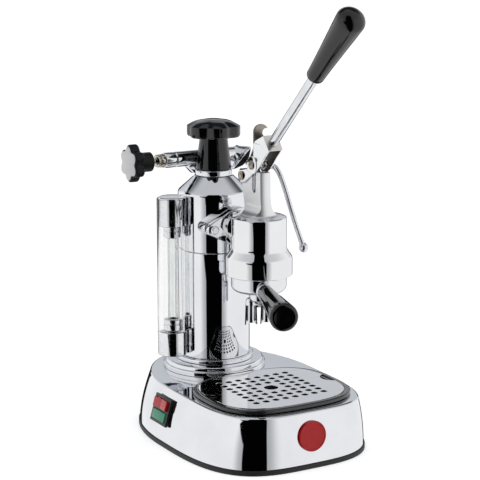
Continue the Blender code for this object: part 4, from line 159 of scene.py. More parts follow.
def lathe(profile, place=ORIGIN, direction=UP, facets=FINE, closed=False):
    """Turn a profile of (radius, height) about an axis, where a ring of no radius is one point."""
    turn = axes(direction)
    origin = Vector(place)
    points, rows = [], []
    for radius, height in profile:
        count = 1 if radius < TINY else facets
        rows.append((len(points), count))
        points += [origin + turn @ Vector((x, y, height)) for x, y in circle(0.0, 0.0, radius, count)]
    faces = []
    pairs = list(zip(rows, rows[1:]))
    if closed:
        pairs.append((rows[-1], rows[0]))
    for (first, first_count), (second, second_count) in pairs:
        for index in range(facets):
            after = (index + 1) % facets
            faces.append([first + index % first_count, second + index % second_count,
                          second + after % second_count, first + after % first_count])
    return points, faces


def spin(corners, place=ORIGIN, direction=UP, facets=FINE, steps=6):
    """Turn corners given in millimetres; a profile that starts off the axis has a bore."""
    closed = corners[0][0] > 0.0
    return lathe(arcs(mm(*corners), steps, closed), place, direction, facets, closed)


def drum(radius, low, high, place=ORIGIN, direction=UP, facets=SMALL):
    """Plain cylinder between two heights, its sizes in millimetres."""
    return spin(((0.0, high), (radius, high), (radius, low), (0.0, low)), place, direction, facets)


def loft(rings, closed=False):
    """Skin between rings of the same number of points, anticlockwise seen from above, rising."""
    count = len(rings[0])
    points = [Vector(point) for ring in rings for point in ring]
    faces = []
    rows = len(rings)
    for row in range(rows if closed else rows - 1):
        here, there = row * count, ((row + 1) % rows) * count
        for index in range(count):
            after = (index + 1) % count
            faces.append([here + index, here + after, there + after, there + index])
    if not closed:
        faces.append(list(reversed(range(count))))
        faces.append([(rows - 1) * count + index for index in range(count)])
    return points, faces


def tube(route, radius, sides=24):
    """Round bar along a route, with flat ends."""
    pairs = zip(route[:1] + route, route[1:] + route[-1:])
    tangents = [(after - before).normalized() for before, after in pairs]
    side = tangents[0].orthogonal().normalized()
    rings = []
    for index, point in enumerate(route):
        if index:
            side = tangents[index - 1].rotation_difference(tangents[index]) @ side
        other = tangents[index].cross(side)
        rings.append([point + (side * x + other * y) * radius for x, y in circle(0.0, 0.0, 1.0, sides)])
    return loft(rings)


def add(name, data):
    """New object in the scene."""
    item = bpy.data.objects.new(name, data)
    bpy.context.scene.collection.objects.link(item)
    return item


def slab(outlines, low, high, turn=FLAT_TURN, place=ORIGIN, edge=0.0):
    """Flat outline with any holes between two heights, its edges rounded."""
    curve = bpy.data.curves.new("outline", "CURVE")
    curve.dimensions = "2D"
    curve.fill_mode = "BOTH"
    curve.extrude = (high - low) / 2.0 - edge
    curve.bevel_depth = edge
    curve.bevel_resolution = 2
    curve.offset = -edge
    for outline in outlines:
        line = curve.splines.new("POLY")
        line.points.add(len(outline) - 1)
        for point, (x, y) in zip(line.points, outline):
            point.co = (x, y, 0.0, 1.0)
        line.use_cyclic_u = True
    holder = add("outline", curve)
    view = bpy.context.evaluated_depsgraph_get()
    mesh = bpy.data.meshes.new_from_object(holder.evaluated_get(view))
    lift = Vector((0.0, 0.0, (high + low) / 2.0))
    points = [Vector(place) + turn @ (vertex.co + lift) for vertex in mesh.vertices]
    faces = [list(polygon.vertices) for polygon in mesh.polygons]
    bpy.data.objects.remove(holder)
    bpy.data.meshes.remove(mesh)
    return points, faces


def side_slab(outline, left, right, edge=0.0):
    """Slab of a side view's (ahead, height) points between two x values."""
    return slab([[(-ahead, height) for ahead, height in outline]], left, right, SIDE_TURN, edge=edge)


def front_slab(outline, near, far, edge=0.0, place=ORIGIN):
    """Slab of a front view's (x, height) points between two distances ahead of a place."""
    return slab([outline], near, far, FRONT_TURN, place, edge)


def block(low, high, turn=FLAT_TURN, place=ORIGIN, edge=0.0, segments=3):
    """Box with rounded edges between two corners."""
    shape = bmesh.new()
    bmesh.ops.create_cube(shape, size=1.0)
    bmesh.ops.scale(shape, vec=Vector(high) - Vector(low), verts=shape.verts)
    bmesh.ops.translate(shape, vec=(Vector(high) + Vector(low)) / 2.0, verts=shape.verts)
    if edge:
        bmesh.ops.bevel(shape, geom=shape.edges[:], offset=edge, segments=segments, profile=0.5,
                        affect="EDGES")
    shape.verts.index_update()
    points = [Vector(place) + turn @ vertex.co for vertex in shape.verts]
    faces = [[vertex.index for vertex in face.verts] for face in shape.faces]
    shape.free()
    return points, faces


# Objects

def smooth(mesh, sharp):
    """Smooth shading with sharp edges above an angle in degrees."""
    mesh.shade_smooth()
    mesh.set_sharp_from_angle(angle=sharp * DEG)


def build(name, shapes, sharp=SHARP):
    """Make one object from several shapes, moved into the frame; a face's repeated points are dropped."""
    shape = bmesh.new()
    for points, faces in shapes:
        vertices = [shape.verts.new(point + HOME) for point in points]
        for face in faces:
            corners = [vertices[index] for index in dict.fromkeys(face)]
            if len(corners) > 2:
                shape.faces.new(corners)
    bmesh.ops.remove_doubles(shape, verts=shape.verts, dist=TINY)
    bmesh.ops.recalc_face_normals(shape, faces=shape.faces)
    mesh = bpy.data.meshes.new(name)
    shape.to_mesh(mesh)
    shape.free()
    smooth(mesh, sharp)
    return add(name, mesh)


def carve(item, shapes, sharp=SHARP, operation="DIFFERENCE"):
    """Cut shapes out of an object, or join them to it."""
    for shape in shapes:
        tool = build("cutter", [shape])
        step = item.modifiers.new("cut", "BOOLEAN")
        step.solver = "EXACT"
        step.operation = operation
        step.object = tool
        view = bpy.context.evaluated_depsgraph_get()
        mesh = bpy.data.meshes.new_from_object(item.evaluated_get(view))
        item.modifiers.clear()
        item.data = mesh
        bpy.data.objects.remove(tool)
    smooth(item.data, sharp)


def merge(item, other):
    """Put another object's mesh into an object, as it is."""
    shape = bmesh.new()
    shape.from_mesh(item.data)
    shape.from_mesh(other.data)
    shape.to_mesh(item.data)
    shape.free()
    bpy.data.objects.remove(other)


def dress(item, node, material):
    """Let a fine piece stand for a node, with its body, slot and finish."""
    item.data.materials.clear()
    item.data.materials.append(material)
    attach(item, BODY_OF[node])
    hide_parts(node)


def detail(item, body, material):
    """Let an extra piece ride on a body without standing for a node."""
    item.data.materials.clear()
    item.data.materials.append(material)
    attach(item, body)


def fit(name, shapes, node, material, sharp=SHARP):
    """Dress a node with a piece made of several shapes."""
    dress(build(name, shapes, sharp), node, material)


def turned(name, node, material, corners, place=ORIGIN, direction=UP, facets=FINE, steps=6, sharp=SHARP):
    """Dress a node with a piece turned from corners in millimetres."""
    fit(name, [spin(corners, place, direction, facets, steps)], node, material, sharp)


# Shader helpers

def linear(code):
    """Linear colour of an sRGB hex code."""
    values = [int(code[index:index + 2], 16) / 255.0 for index in (0, 2, 4)]
    return tuple(v / 12.92 if v <= 0.04045 else ((v + 0.055) / 1.055) ** 2.4 for v in values) + (1.0,)


def node(tree, kind, links=None, **settings):
    """Add a shader node, set its values and link its inputs."""
    item = tree.nodes.new(kind)
    for key, value in settings.items():
        setattr(item, key, value)
    for key, value in (links or {}).items():
        if isinstance(value, bpy.types.NodeSocket):
            tree.links.new(value, item.inputs[key])
        else:
            item.inputs[key].default_value = value
    return item


def maths(tree, operation, first, second=0.0):
    """Result of an operation on two sockets or numbers."""
    return node(tree, "ShaderNodeMath", {0: first, 1: second}, operation=operation).outputs[0]


def times(tree, first, second):
    """Product of two sockets or numbers."""
    return maths(tree, "MULTIPLY", first, second)


def ramp(tree, value, start, end, low=0.0, high=1.0, kind="LINEAR"):
    """Value that runs from low at start to high at end."""
    spans = {"Value": value, "From Min": start, "From Max": end, "To Min": low, "To Max": high}
    return node(tree, "ShaderNodeMapRange", spans, interpolation_type=kind).outputs["Result"]


def mix(tree, factor, first, second):
    """Mix of two colours, each a hex code or a socket."""
    first, second = [linear(value) if isinstance(value, str) else value for value in (first, second)]
    return node(tree, "ShaderNodeMix", {"Factor": factor, 6: first, 7: second}, data_type="RGBA").outputs[2]


def overlay(tree, name, mask, value, kind="FLOAT"):
    """Lay a value over what feeds an input of the surface, where a mask is 1."""
    socket = tree.nodes["Principled BSDF"].inputs[name]
    first, result = (6, 2) if kind == "RGBA" else (2, 0)
    links = {"Factor": mask, first: socket.links[0].from_socket, first + 1: value}
    tree.links.new(node(tree, "ShaderNodeMix", links, data_type=kind).outputs[result], socket)


NOISE_SPAN = (0.3, 0.7)  # where nearly all of a noise's values lie


def finish(name, dark, light, metallic, rough, scale_mm, bump_mm=0.0, stretch=(1.0, 1.0, 1.0), **sockets):
    """Surface whose colour and roughness drift between two values over a pattern of a real size."""
    material = bpy.data.materials.new(name)
    material.use_nodes = True
    tree = material.node_tree
    shader = tree.nodes["Principled BSDF"]
    place = node(tree, "ShaderNodeTexCoord")
    mapped = node(tree, "ShaderNodeMapping", {"Vector": place.outputs["Object"], "Scale": stretch})
    noise = node(tree, "ShaderNodeTexNoise", {"Vector": mapped.outputs["Vector"], "Detail": 4.0,
                                             "Scale": 1.0 / (scale_mm * MM), "Roughness": 0.55})
    drift = noise.outputs["Fac"]
    tree.links.new(mix(tree, ramp(tree, drift, *NOISE_SPAN), dark, light), shader.inputs["Base Color"])
    tree.links.new(ramp(tree, drift, *NOISE_SPAN, *rough), shader.inputs["Roughness"])
    shader.inputs["Metallic"].default_value = metallic
    if bump_mm:
        bump = node(tree, "ShaderNodeBump", {"Height": drift, "Strength": 1.0, "Distance": bump_mm * MM})
        tree.links.new(bump.outputs["Normal"], shader.inputs["Normal"])
    for key, value in sockets.items():
        shader.inputs[key.replace("_", " ")].default_value = value
    return material


# Materials

# Chrome plate over polished steel or brass: faint haze left by wiping
chrome = finish("chrome_plate", "dfe1e5", "e9eaed", 1.0, (0.025, 0.05), 45.0)
# Chrome on the small cast and turned fittings, slightly less flat
chrome_small = finish("chrome_fitting", "d9dbdf", "e8e9ec", 1.0, (0.03, 0.06), 12.0)
# Stainless sheet of the grid: rolled and buffed along x
steel_sheet = finish("grid_steel", "e6e6e8", "f1f1f2", 1.0, (0.05, 0.1), 2.0, 0.001, (0.06, 1.0, 1.0))
# Turned stainless steel of pins and screws
steel_turned = finish("turned_steel", "b4b3b0", "cfcecb", 1.0, (0.12, 0.22), 1.2, 0.002)
# Nickelled gland nut
nickel = finish("nickel_fitting", "b5aea2", "d0cabf", 1.0, (0.08, 0.14), 6.0, 0.001)
# Hardened pins with a straw-brown tint
pin_steel = finish("tempered_pin", "9a8f82", "beb5a9", 1.0, (0.12, 0.2), 1.5, 0.001)
# Bare turned brass of the safety valve and the hidden fittings
brass = finish("bare_brass", "a8864a", "c9a765", 1.0, (0.18, 0.3), 6.0, 0.003)
# Phenolic moulding, buffed to a deep gloss
phenolic = finish("black_phenolic", "040404", "080808", 0.0, (0.04, 0.09), 9.0, 0.001, IOR=1.55)
# Injection moulded tray with a glossy skin
tray_plastic = finish("tray_plastic", "1e1f20", "2a2b2c", 0.0, (0.1, 0.16), 6.0, 0.004, IOR=1.5,
                      Coat_Weight=0.6)
# Near-black ring in the wand's cone that reflects almost nothing: painted shade in the cone's mouth
cone_shade_black = finish("cone_shade_black", "020202", "060606", 0.0, (0.6, 0.7), 2.0, IOR=1.15)
# The tap's moulding is duller and swallows more light
tap_black = finish("tap_moulding", "030303", "070707", 0.0, (0.3, 0.42), 5.0, 0.002, IOR=1.36)
# Finely grained frame of the switch
switch_plastic = finish("switch_plastic", "19191a", "262627", 0.0, (0.3, 0.42), 0.8, 0.008, IOR=1.5)
# Moulded rubber of the foot band and the seals
rubber = finish("black_rubber", "161617", "222223", 0.0, (0.5, 0.65), 1.0, 0.015, IOR=1.5)
# Glossy mouldings of the rocker and the lamp
red_lens = finish("red_rocker", "b80f16", "d81b20", 0.0, (0.1, 0.18), 5.0, 0.003, IOR=1.5, Coat_Weight=0.3)
green_lens = finish("green_lamp", "0f8a62", "1ba177", 0.0, (0.1, 0.18), 5.0, 0.003, IOR=1.5, Coat_Weight=0.3)
# Enamel of the plain badge
red_enamel = finish("red_enamel", "c4151b", "cf1e24", 0.0, (0.16, 0.24), 8.0, 0.004, IOR=1.4)
# Pale face of the tap's knob
pale_disc = finish("pale_disc", "e4e4e5", "efefef", 0.0, (0.3, 0.4), 25.0)
# Pale seal under the cap
seal = finish("pale_seal", "b8b2a4", "cbc6ba", 0.0, (0.5, 0.65), 2.0, 0.01)
# Acrylic guard and glass tube, clear all through
clear = finish("clear_acrylic", "fdfdfd", "ffffff", 0.0, (0.0, 0.0), 20.0, IOR=1.49, Transmission_Weight=1.0)
glass = finish("sight_glass", "f6f9f8", "fcfefd", 0.0, (0.0, 0.0), 20.0, IOR=1.47, Transmission_Weight=1.0)

# Fork: ends of the fold's outer face in (ahead, height), and half widths outside and between the arms
FOLD_FOOT = Vector((126.0 * MM, 309.2 * MM))
FOLD_TOP = Vector((115.4 * MM, 322.8 * MM))
FORK_OUTSIDE = 8.4 * MM
FORK_INSIDE = 6.4 * MM
# Depth under the fold's outer face that still has its finish
FOLD_SKIN = 0.9 * MM
# The tab is what stands above this height and less far ahead than this
TAB_FOOT = 313.5 * MM
TAB_FRONT = 99.0 * MM
# Heights between which the bell's polish gives way to the neck's
BELL_TOP = (237.3 * MM, 239.0 * MM)


def fold_inward():
    """Way from the fold's outer face into the fork, in (ahead, height)."""
    up = (FOLD_TOP - FOLD_FOOT).normalized()
    inward = Vector((-up.y, up.x))
    return -inward if inward.x > 0.0 else inward


def yoke_finish_and_shade():
    """Chromed sides and a satin fold; between the arms a dull dark brown-grey is painted as the shade there,
    and the tab gets a brownish grey painted as the shade on its forward face.
    """
    material = finish("yoke_sheet_and_shade", "e2e3e6", "ebecee", 1.0, (0.05, 0.1), 20.0)
    tree = material.node_tree
    place = node(tree, "ShaderNodeTexCoord")
    x, y, z = node(tree, "ShaderNodeSeparateXYZ", {0: place.outputs["Object"]}).outputs
    inward = fold_inward()
    aside = maths(tree, "ABSOLUTE", maths(tree, "SUBTRACT", x, HOME.x))
    ahead = maths(tree, "SUBTRACT", HOME.y, y)
    depth = maths(tree, "ADD", times(tree, maths(tree, "SUBTRACT", ahead, FOLD_FOOT.x), inward.x),
                  times(tree, maths(tree, "SUBTRACT", z, FOLD_FOOT.y), inward.y))
    outer = maths(tree, "LESS_THAN", depth, FOLD_SKIN)
    fold = times(tree, maths(tree, "LESS_THAN", aside, FORK_OUTSIDE - 0.1 * MM), outer)
    # Mask of the faces between the arms, where dark brown-grey painted shade goes
    inside_shade = times(tree, maths(tree, "LESS_THAN", aside, FORK_INSIDE + 0.3 * MM),
                   maths(tree, "SUBTRACT", 1.0, outer))
    tab = times(tree, maths(tree, "GREATER_THAN", z, TAB_FOOT), maths(tree, "LESS_THAN", ahead, TAB_FRONT))
    grain = node(tree, "ShaderNodeMapping", {"Vector": place.outputs["Object"], "Scale": (1.0, 0.15, 0.15)})
    noise = node(tree, "ShaderNodeTexNoise", {"Vector": grain.outputs["Vector"], "Scale": 1.0 / (0.6 * MM)})
    # Painted shade: dark brown-grey on the inside between the arms, and brownish grey on the tab for the
    # shade on its forward face
    for mask, dark, light, rough in ((fold, "e2e0dc", "edebe8", 0.3), (inside_shade, "5f5c58", "76736e", 0.4),
                                     (tab, "8c867d", "a39d94", 0.3)):
        overlay(tree, "Base Color", mask, mix(tree, noise.outputs["Fac"], dark, light), "RGBA")
        overlay(tree, "Roughness", mask, rough)
    return material


def group_finish():
    """Chrome of the group: the cast neck above the bell is hand-polished, so it mirrors less sharply."""
    material = finish("chrome_group", "e3e4e6", "ececee", 1.0, (0.025, 0.05), 45.0)
    tree = material.node_tree
    place = node(tree, "ShaderNodeTexCoord")
    z = node(tree, "ShaderNodeSeparateXYZ", {0: place.outputs["Object"]}).outputs[2]
    overlay(tree, "Roughness", ramp(tree, z, *BELL_TOP), 0.4)
    return material


chrome_group = group_finish()
yoke_and_shade = yoke_finish_and_shade()


# Base

WIDEST_AHEAD = 60.0 * MM
# Half width, reaches to the front and the rear, and the superellipse powers of both
FOOT = (98.0 * MM, 138.0 * MM, 130.0 * MM, 3.3, 2.2)
DECK = (84.5 * MM, 134.0 * MM, 125.0 * MM, 4.0, 2.1)
SIDE_WALL, FRONT_WALL = 0, 1
WALL_CURVE = 1.7
SHELL_FOOT = 5.2 * MM + GAP
DECK_TOP = 58.0 * MM
DECK_EDGE = 3.0 * MM
SHEET = 1.2 * MM
BADGE_HEIGHT = 33.5 * MM
PLAN_POINTS = 200


def plan(half_width, front, rear, front_power, rear_power, middle_y):
    """Plan outline made of two half superellipses that share the widest line."""
    points = []
    for across, along in circle(0.0, 0.0, 1.0, PLAN_POINTS):
        reach, power = (front, front_power) if along < 0.0 else (rear, rear_power)
        x = half_width * math.copysign(abs(across) ** (2.0 / power), across)
        y = middle_y + reach * math.copysign(abs(along) ** (2.0 / power), along)
        points.append((x, y))
    return points


def wall(height):
    """Half width, reaches and powers of the base wall at a height."""
    share = max(0.0, (height - SHELL_FOOT) / (DECK_TOP - SHELL_FOOT)) ** WALL_CURVE
    return [foot + (deck - foot) * share for foot, deck in zip(FOOT, DECK)]


def wall_ring(height, inset, rise=0.0):
    """Ring of the base wall at a height, drawn in and lifted."""
    half_width, front, rear, *powers = wall(height)
    outline = plan(half_width - inset, front - inset, rear - inset, *powers, -WIDEST_AHEAD)
    return [(x, y, height + rise) for x, y in outline]


def wall_lean(height, which):
    """Lean of the side wall or the front wall at a height."""
    inward = wall(height - SHEET)[which] - wall(height + SHEET)[which]
    return math.atan2(inward, 2.0 * SHEET)


TRAY_AHEAD = 119.0 * MM
TRAY_HALF_WIDTH = 71.0 * MM
TRAY_HALF_DEPTH = 60.5 * MM
TRAY_POWER = 2.95
TRAY_REAR_SHARE = 0.45  # towards the boiler the rim has less room
GRID_TOP = 62.6 * MM
GRID_SHEET = 1.2 * MM
HOLE_COUNT = 8  # in each row and column
HOLE_PITCH = (11.4 * MM, 10.72 * MM)


def tray_outline(offset):
    """Tray outline moved outwards by an offset."""
    rear = TRAY_HALF_DEPTH + offset * TRAY_REAR_SHARE
    return plan(TRAY_HALF_WIDTH + offset, TRAY_HALF_DEPTH + offset, rear, TRAY_POWER, TRAY_POWER, -TRAY_AHEAD)


def tray_ring(offset, height):
    """Ring of the tray outline at a height."""
    return [(x, y, height) for x, y in tray_outline(offset)]


def make_base():
    """Housing, foot band and badge."""
    edge_foot = DECK_TOP - DECK_EDGE
    rings = [wall_ring(SHELL_FOOT + SHEET, SHEET), wall_ring(SHELL_FOOT, SHEET), wall_ring(SHELL_FOOT, 0.0)]
    for index in range(1, 17):
        rings.append(wall_ring(SHELL_FOOT + (edge_foot - SHELL_FOOT) * index / 16.0, 0.0))
    for index in range(1, 9):
        angle = math.pi / 2.0 * index / 8.0
        rings.append(wall_ring(edge_foot, DECK_EDGE * (1.0 - math.cos(angle)), DECK_EDGE * math.sin(angle)))
    rings.append(wall_ring(edge_foot, DECK_EDGE + 0.3 * MM, DECK_EDGE))
    shell = build("housing", [loft(rings)], 40.0)
    hole = loft([tray_ring(-1.6 * MM, 30.0 * MM), tray_ring(-1.6 * MM, 80.0 * MM)])
    carve(shell, [hole], 40.0)
    dress(shell, "base_shell", chrome)

    section = mm((-7.8, 0.0), (0.8, 0.0), (1.2, 0.5), (1.2, 4.6), (0.7, 5.2), (-7.8, 5.2))
    band = [wall_ring(SHELL_FOOT, -offset, height - SHELL_FOOT) for offset, height in section]
    fit("foot_band", [loft(band, closed=True)], "base_trim", rubber)

    lean = wall_lean(BADGE_HEIGHT, FRONT_WALL)
    place = Vector((0.0, -WIDEST_AHEAD - wall(BADGE_HEIGHT)[FRONT_WALL], BADGE_HEIGHT))
    out = Vector((0.0, -math.cos(lean), math.sin(lean)))
    turned("badge_plain", "badge_disc", red_enamel,
           ((0.0, 2.2), (13.4, 2.2, 0.2), (13.8, 2.7, 0.2), (15.5, 2.7, 0.7), (15.5, 0.3), (0.0, 0.3)),
           place, out, MIDDLE, 5)


def make_switch():
    """Bezel, rocker and lamp on the left wall."""
    height = 36.0 * MM
    lean = wall_lean(height, SIDE_WALL)
    place = Vector((-wall(height)[SIDE_WALL], -57.0 * MM, height))
    out = Vector((-math.cos(lean), 0.0, math.sin(lean)))
    up = out.cross(FORWARD)
    turn = Matrix((FORWARD, up, out)).transposed()
    half_w, half_t, front = 17.0 * MM, 14.5 * MM, 3.3 * MM
    rim, bridge, back = 3.0 * MM, 0.8 * MM, -2.7 * MM
    bezel = build("switch_frame", [block((-half_w, -half_t, GAP), (half_w, half_t, front), turn, place,
                                         0.8 * MM)])
    carve(bezel, [block(*mm((-14.0, -11.5, -16.0), (14.0, 11.5, 2.0)), turn, place)], operation="UNION")
    pockets = []
    for low, high in ((bridge, half_t - rim), (-half_t + rim, -bridge)):
        pockets.append(block((-half_w + rim, low, back), (half_w - rim, high, front * 3.0), turn, place,
                             0.4 * MM))
    carve(bezel, pockets)
    dress(bezel, "switch_bezel", switch_plastic)

    middle = (bridge + half_t - rim) / 2.0
    half = half_w - rim - 0.8 * MM
    depth = (half_t - rim - bridge) / 2.0 - 0.3 * MM
    foot, crown = front - 0.7 * MM, front + 3.0 * MM
    outline = arcs([(-half, foot), (half, foot), (half, crown, 0.5 * MM), (0.0, crown - 1.7 * MM, 8.0 * MM),
                    (-half, crown, 0.5 * MM)])
    side_turn = Matrix((FORWARD, out, -up)).transposed()
    rocker = slab([outline], -middle - depth, -middle + depth, side_turn, place, 0.3 * MM)
    fit("rocker_key", [rocker], "switch_rocker", red_lens)
    lamp = block((-half, -middle - depth, back + GAP), (half, -middle + depth, front + 1.2 * MM), turn, place,
                 1.1 * MM, 4)
    fit("lamp_lens", [lamp], "pilot_lamp", green_lens)


def make_tray():
    """Basin with its rounded rim, and the perforated grid with a middle hole and two finger notches."""
    section = mm((-3.5, 40.0), (-1.9, 41.6), (-1.9, 58.3), (5.0, 58.3), (5.7, 58.7), (6.0, 59.4), (6.0, 60.6),
                 (5.6, 61.5), (4.8, 62.1), (3.9, 62.3), (0.9, 62.3), (0.6, 62.1), (0.6, 61.1), (-3.5, 61.1),
                 (-3.5, 43.2), (-5.1, 41.6))
    rings = [tray_ring(offset, height) for offset, height in section]
    fit("tray_basin", [loft(rings)], "drip_tray", tray_plastic)

    outlines = [tray_outline(0.0), circle(0.0, -TRAY_AHEAD, 7.25 * MM, SMALL)]
    spots = [index - (HOLE_COUNT - 1) / 2.0 for index in range(HOLE_COUNT)]
    for along in spots:
        for across in spots:
            if max(abs(across), abs(along)) > 0.6:
                x, y = across * HOLE_PITCH[0], along * HOLE_PITCH[1] - TRAY_AHEAD
                outlines.append(circle(x, y, 3.5 * MM, 20))
    grid = build("grid_plate", [slab(outlines, GRID_TOP - GRID_SHEET, GRID_TOP, edge=0.25 * MM)], 8.0)
    carve(grid, [drum(13.0, 55.0, 70.0, (side * 75.0 * MM, -TRAY_AHEAD, 0.0)) for side in (-1.0, 1.0)], 8.0)
    dress(grid, "drip_grid", steel_sheet)


# Boiler

PORT = Vector((0.0, 0.0, 219.0 * MM))  # middle of the group's flange, on the boiler's axis
EAR_SPACING = 30.5 * MM
KNOB_LOBES = 6
KNOB_PHASE = -105.0 * DEG
KNOB_DIP = 3.3 * MM


def make_boiler():
    """Stepped ring, foot collar, two boiler parts, filler collar, cap and knob."""
    turned("deck_ring", "boiler_flange", chrome,
           ((35.3, 67.9), (52.5, 67.9, 1.8), (52.5, 63.5, 0.3), (55.0, 63.5, 1.4), (55.0, 58.3),
            (35.3, 58.3)))
    turned("foot_collar", "boiler_base", chrome,
           ((30.0, 72.8), (42.0, 72.8, 1.0), (42.0, 68.2, 0.5), (35.0, 68.2), (35.0, 47.0), (30.0, 47.0)))
    turned("lower_tube", "boiler_lower", chrome,
           ((36.5, 188.0), (38.3, 188.0, 0.8), (38.3, 73.1, 0.4), (36.5, 73.1)))
    upper = spin(((11.0, 276.0), (14.5, 276.0), (14.5, 266.0), (20.5, 266.0, 0.3), (38.3, 250.0, 5.0),
                  (38.3, 188.3, 0.8), (36.5, 188.3), (36.5, 248.8), (20.5, 263.4), (11.0, 263.4)), steps=10)
    fit("upper_dome", [upper, flange(31.0 * MM, 46.0 * MM)], "boiler_upper", chrome, 30.0)
    turned("neck_collar", "filler_collar", chrome,
           ((14.8, 272.7), (19.5, 272.7, 1.6), (19.5, 266.3, 1.2), (14.8, 266.3)))
    turned("cap_skirt", "boiler_cap", phenolic,
           ((0.0, 306.7), (14.4, 306.7), (19.0, 273.0, 0.8), (15.1, 273.0), (15.1, 279.2), (10.6, 279.2),
            (10.6, 268.0), (0.0, 268.0)), steps=5)
    fit("cap_handwheel", [loft(knob_rings())], "cap_knob", phenolic, 60.0)


def lobed(radius, dip, height, phase=0.0, count=180, sharpness=2.0):
    """Ring that swells and dips once for each lobe of a knob."""
    ring = []
    for index in range(count):
        angle = 2.0 * math.pi * index / count
        wave = (1.0 - math.cos(KNOB_LOBES * (angle - phase))) / 2.0
        reach = radius - dip * wave ** sharpness
        ring.append((reach * math.cos(angle), reach * math.sin(angle), height))
    return ring


def knob_rings():
    """Filler knob: upright rim with six lobes under a shallow dome, into which the dips fade."""
    section = arcs(mm((13.0, 307.0), (26.8, 307.2, 1.0), (28.5, 309.2, 2.0), (28.5, 318.9, 0.9),
                      (21.0, 323.2, 30.0), (8.0, 325.6, 20.0), (0.3, 325.8)), 7, False)
    return [lobed(radius, KNOB_DIP * fade(radius, 10.0 * MM, 26.0 * MM) ** 1.5, height, KNOB_PHASE)
            for radius, height in section]


def flange(near, far, shrink=0.0, edge=0.5 * MM):
    """Diamond flange plate between two distances ahead of the boiler axis."""
    ear, big = 6.4 * MM, 20.5 * MM
    tangent = math.degrees(math.acos((big - ear) / EAR_SPACING))
    outline = []
    for middle, radius, first, last in (
        (EAR_SPACING, ear, -tangent, tangent),
        (0.0, big, tangent, 180.0 - tangent),
        (-EAR_SPACING, ear, 180.0 - tangent, 180.0 + tangent),
        (0.0, big, 180.0 + tangent, 360.0 - tangent),
    ):
        outline += arc_points((middle, 0.0), radius - shrink, first, last, 14)
    return front_slab(outline, near, far, edge, PORT)


def make_joint():
    """Gasket and screws between boiler and group."""
    fit("joint_gasket", [flange(46.3 * MM, 47.3 * MM, 0.6 * MM, 0.1 * MM)], "group_gasket_flange", rubber)
    for side, sign in (("left", -1.0), ("right", 1.0)):
        turned("joint_screw_" + side, "group_bolt_" + side, chrome_small,
               ((0.0, 58.6), (3.4, 58.9, 0.4), (4.6, 57.4, 0.5), (4.6, 54.9), (3.0, 54.9), (3.0, 35.0),
                (0.0, 35.0)), PORT + RIGHT * (sign * EAR_SPACING), FORWARD, SMALL, 4)


def make_sight_glass():
    """Blocks, nuts, glass tube and clear guard."""
    place = LEFT * (50.0 * MM)
    for name, low, high in (("upper", 216.5, 247.0), ("lower", 77.0, 103.0)):
        end = spin(((0.0, high - 0.4), (11.5, high - 0.4, 0.2), (12.2, high, 0.2), (15.0, high, 1.5),
                    (15.0, low, 0.6), (0.0, low)), place, UP, MIDDLE, 5)
        item = build("sight_end_" + name, [end])
        carve(item, [drum(38.6, low - 5.0, high + 5.0, facets=FINE)])
        dress(item, "sight_block_" + name, chrome)
        foot = low - 13.3 if name == "upper" else high + 0.3
        turned("sight_clamp_" + name, "sight_nut_" + name, chrome_small,
               ((5.5, foot + 13.0), (9.6, foot + 13.0, 1.2), (9.6, foot + 8.2, 0.3), (8.9, foot + 7.9, 0.2),
                (8.9, foot + 7.1, 0.2), (9.6, foot + 6.8, 0.3), (9.6, foot, 1.2), (5.5, foot)),
               place, facets=MIDDLE, steps=4)
    turned("gauge_glass", "sight_glass_tube", glass, ((4.1, 225.5), (5.2, 225.5), (5.2, 94.0), (4.1, 94.0)),
           place, facets=MIDDLE)
    outline = arc_points((0.0, 0.0), 16.4 * MM, 70.0, 290.0, 72)
    outline += arc_points((0.0, 0.0), 15.3 * MM, 290.0, 70.0, 72)
    guard = slab([outline], 77.0 * MM, 245.5 * MM, place=place, edge=0.2 * MM)
    fit("gauge_guard", [guard], "sight_shield", clear)


# Steam valve: middle of its bar, bend of the elbow, way of the wand's nut

VALVE = Vector((0.0, 27.8 * MM, 281.0 * MM))
ELBOW = VALVE + RIGHT * (44.0 * MM)
WAND_WAY = Vector((0.604, -0.504, -0.616)).normalized()


def star(rows):
    """Rings of the tap's knob, from rows of radius, dip and height."""
    turn = axes(LEFT)
    return loft([[VALVE + turn @ Vector(point) for point in lobed(*row, count=144, sharpness=1.3)]
                 for row in rows])


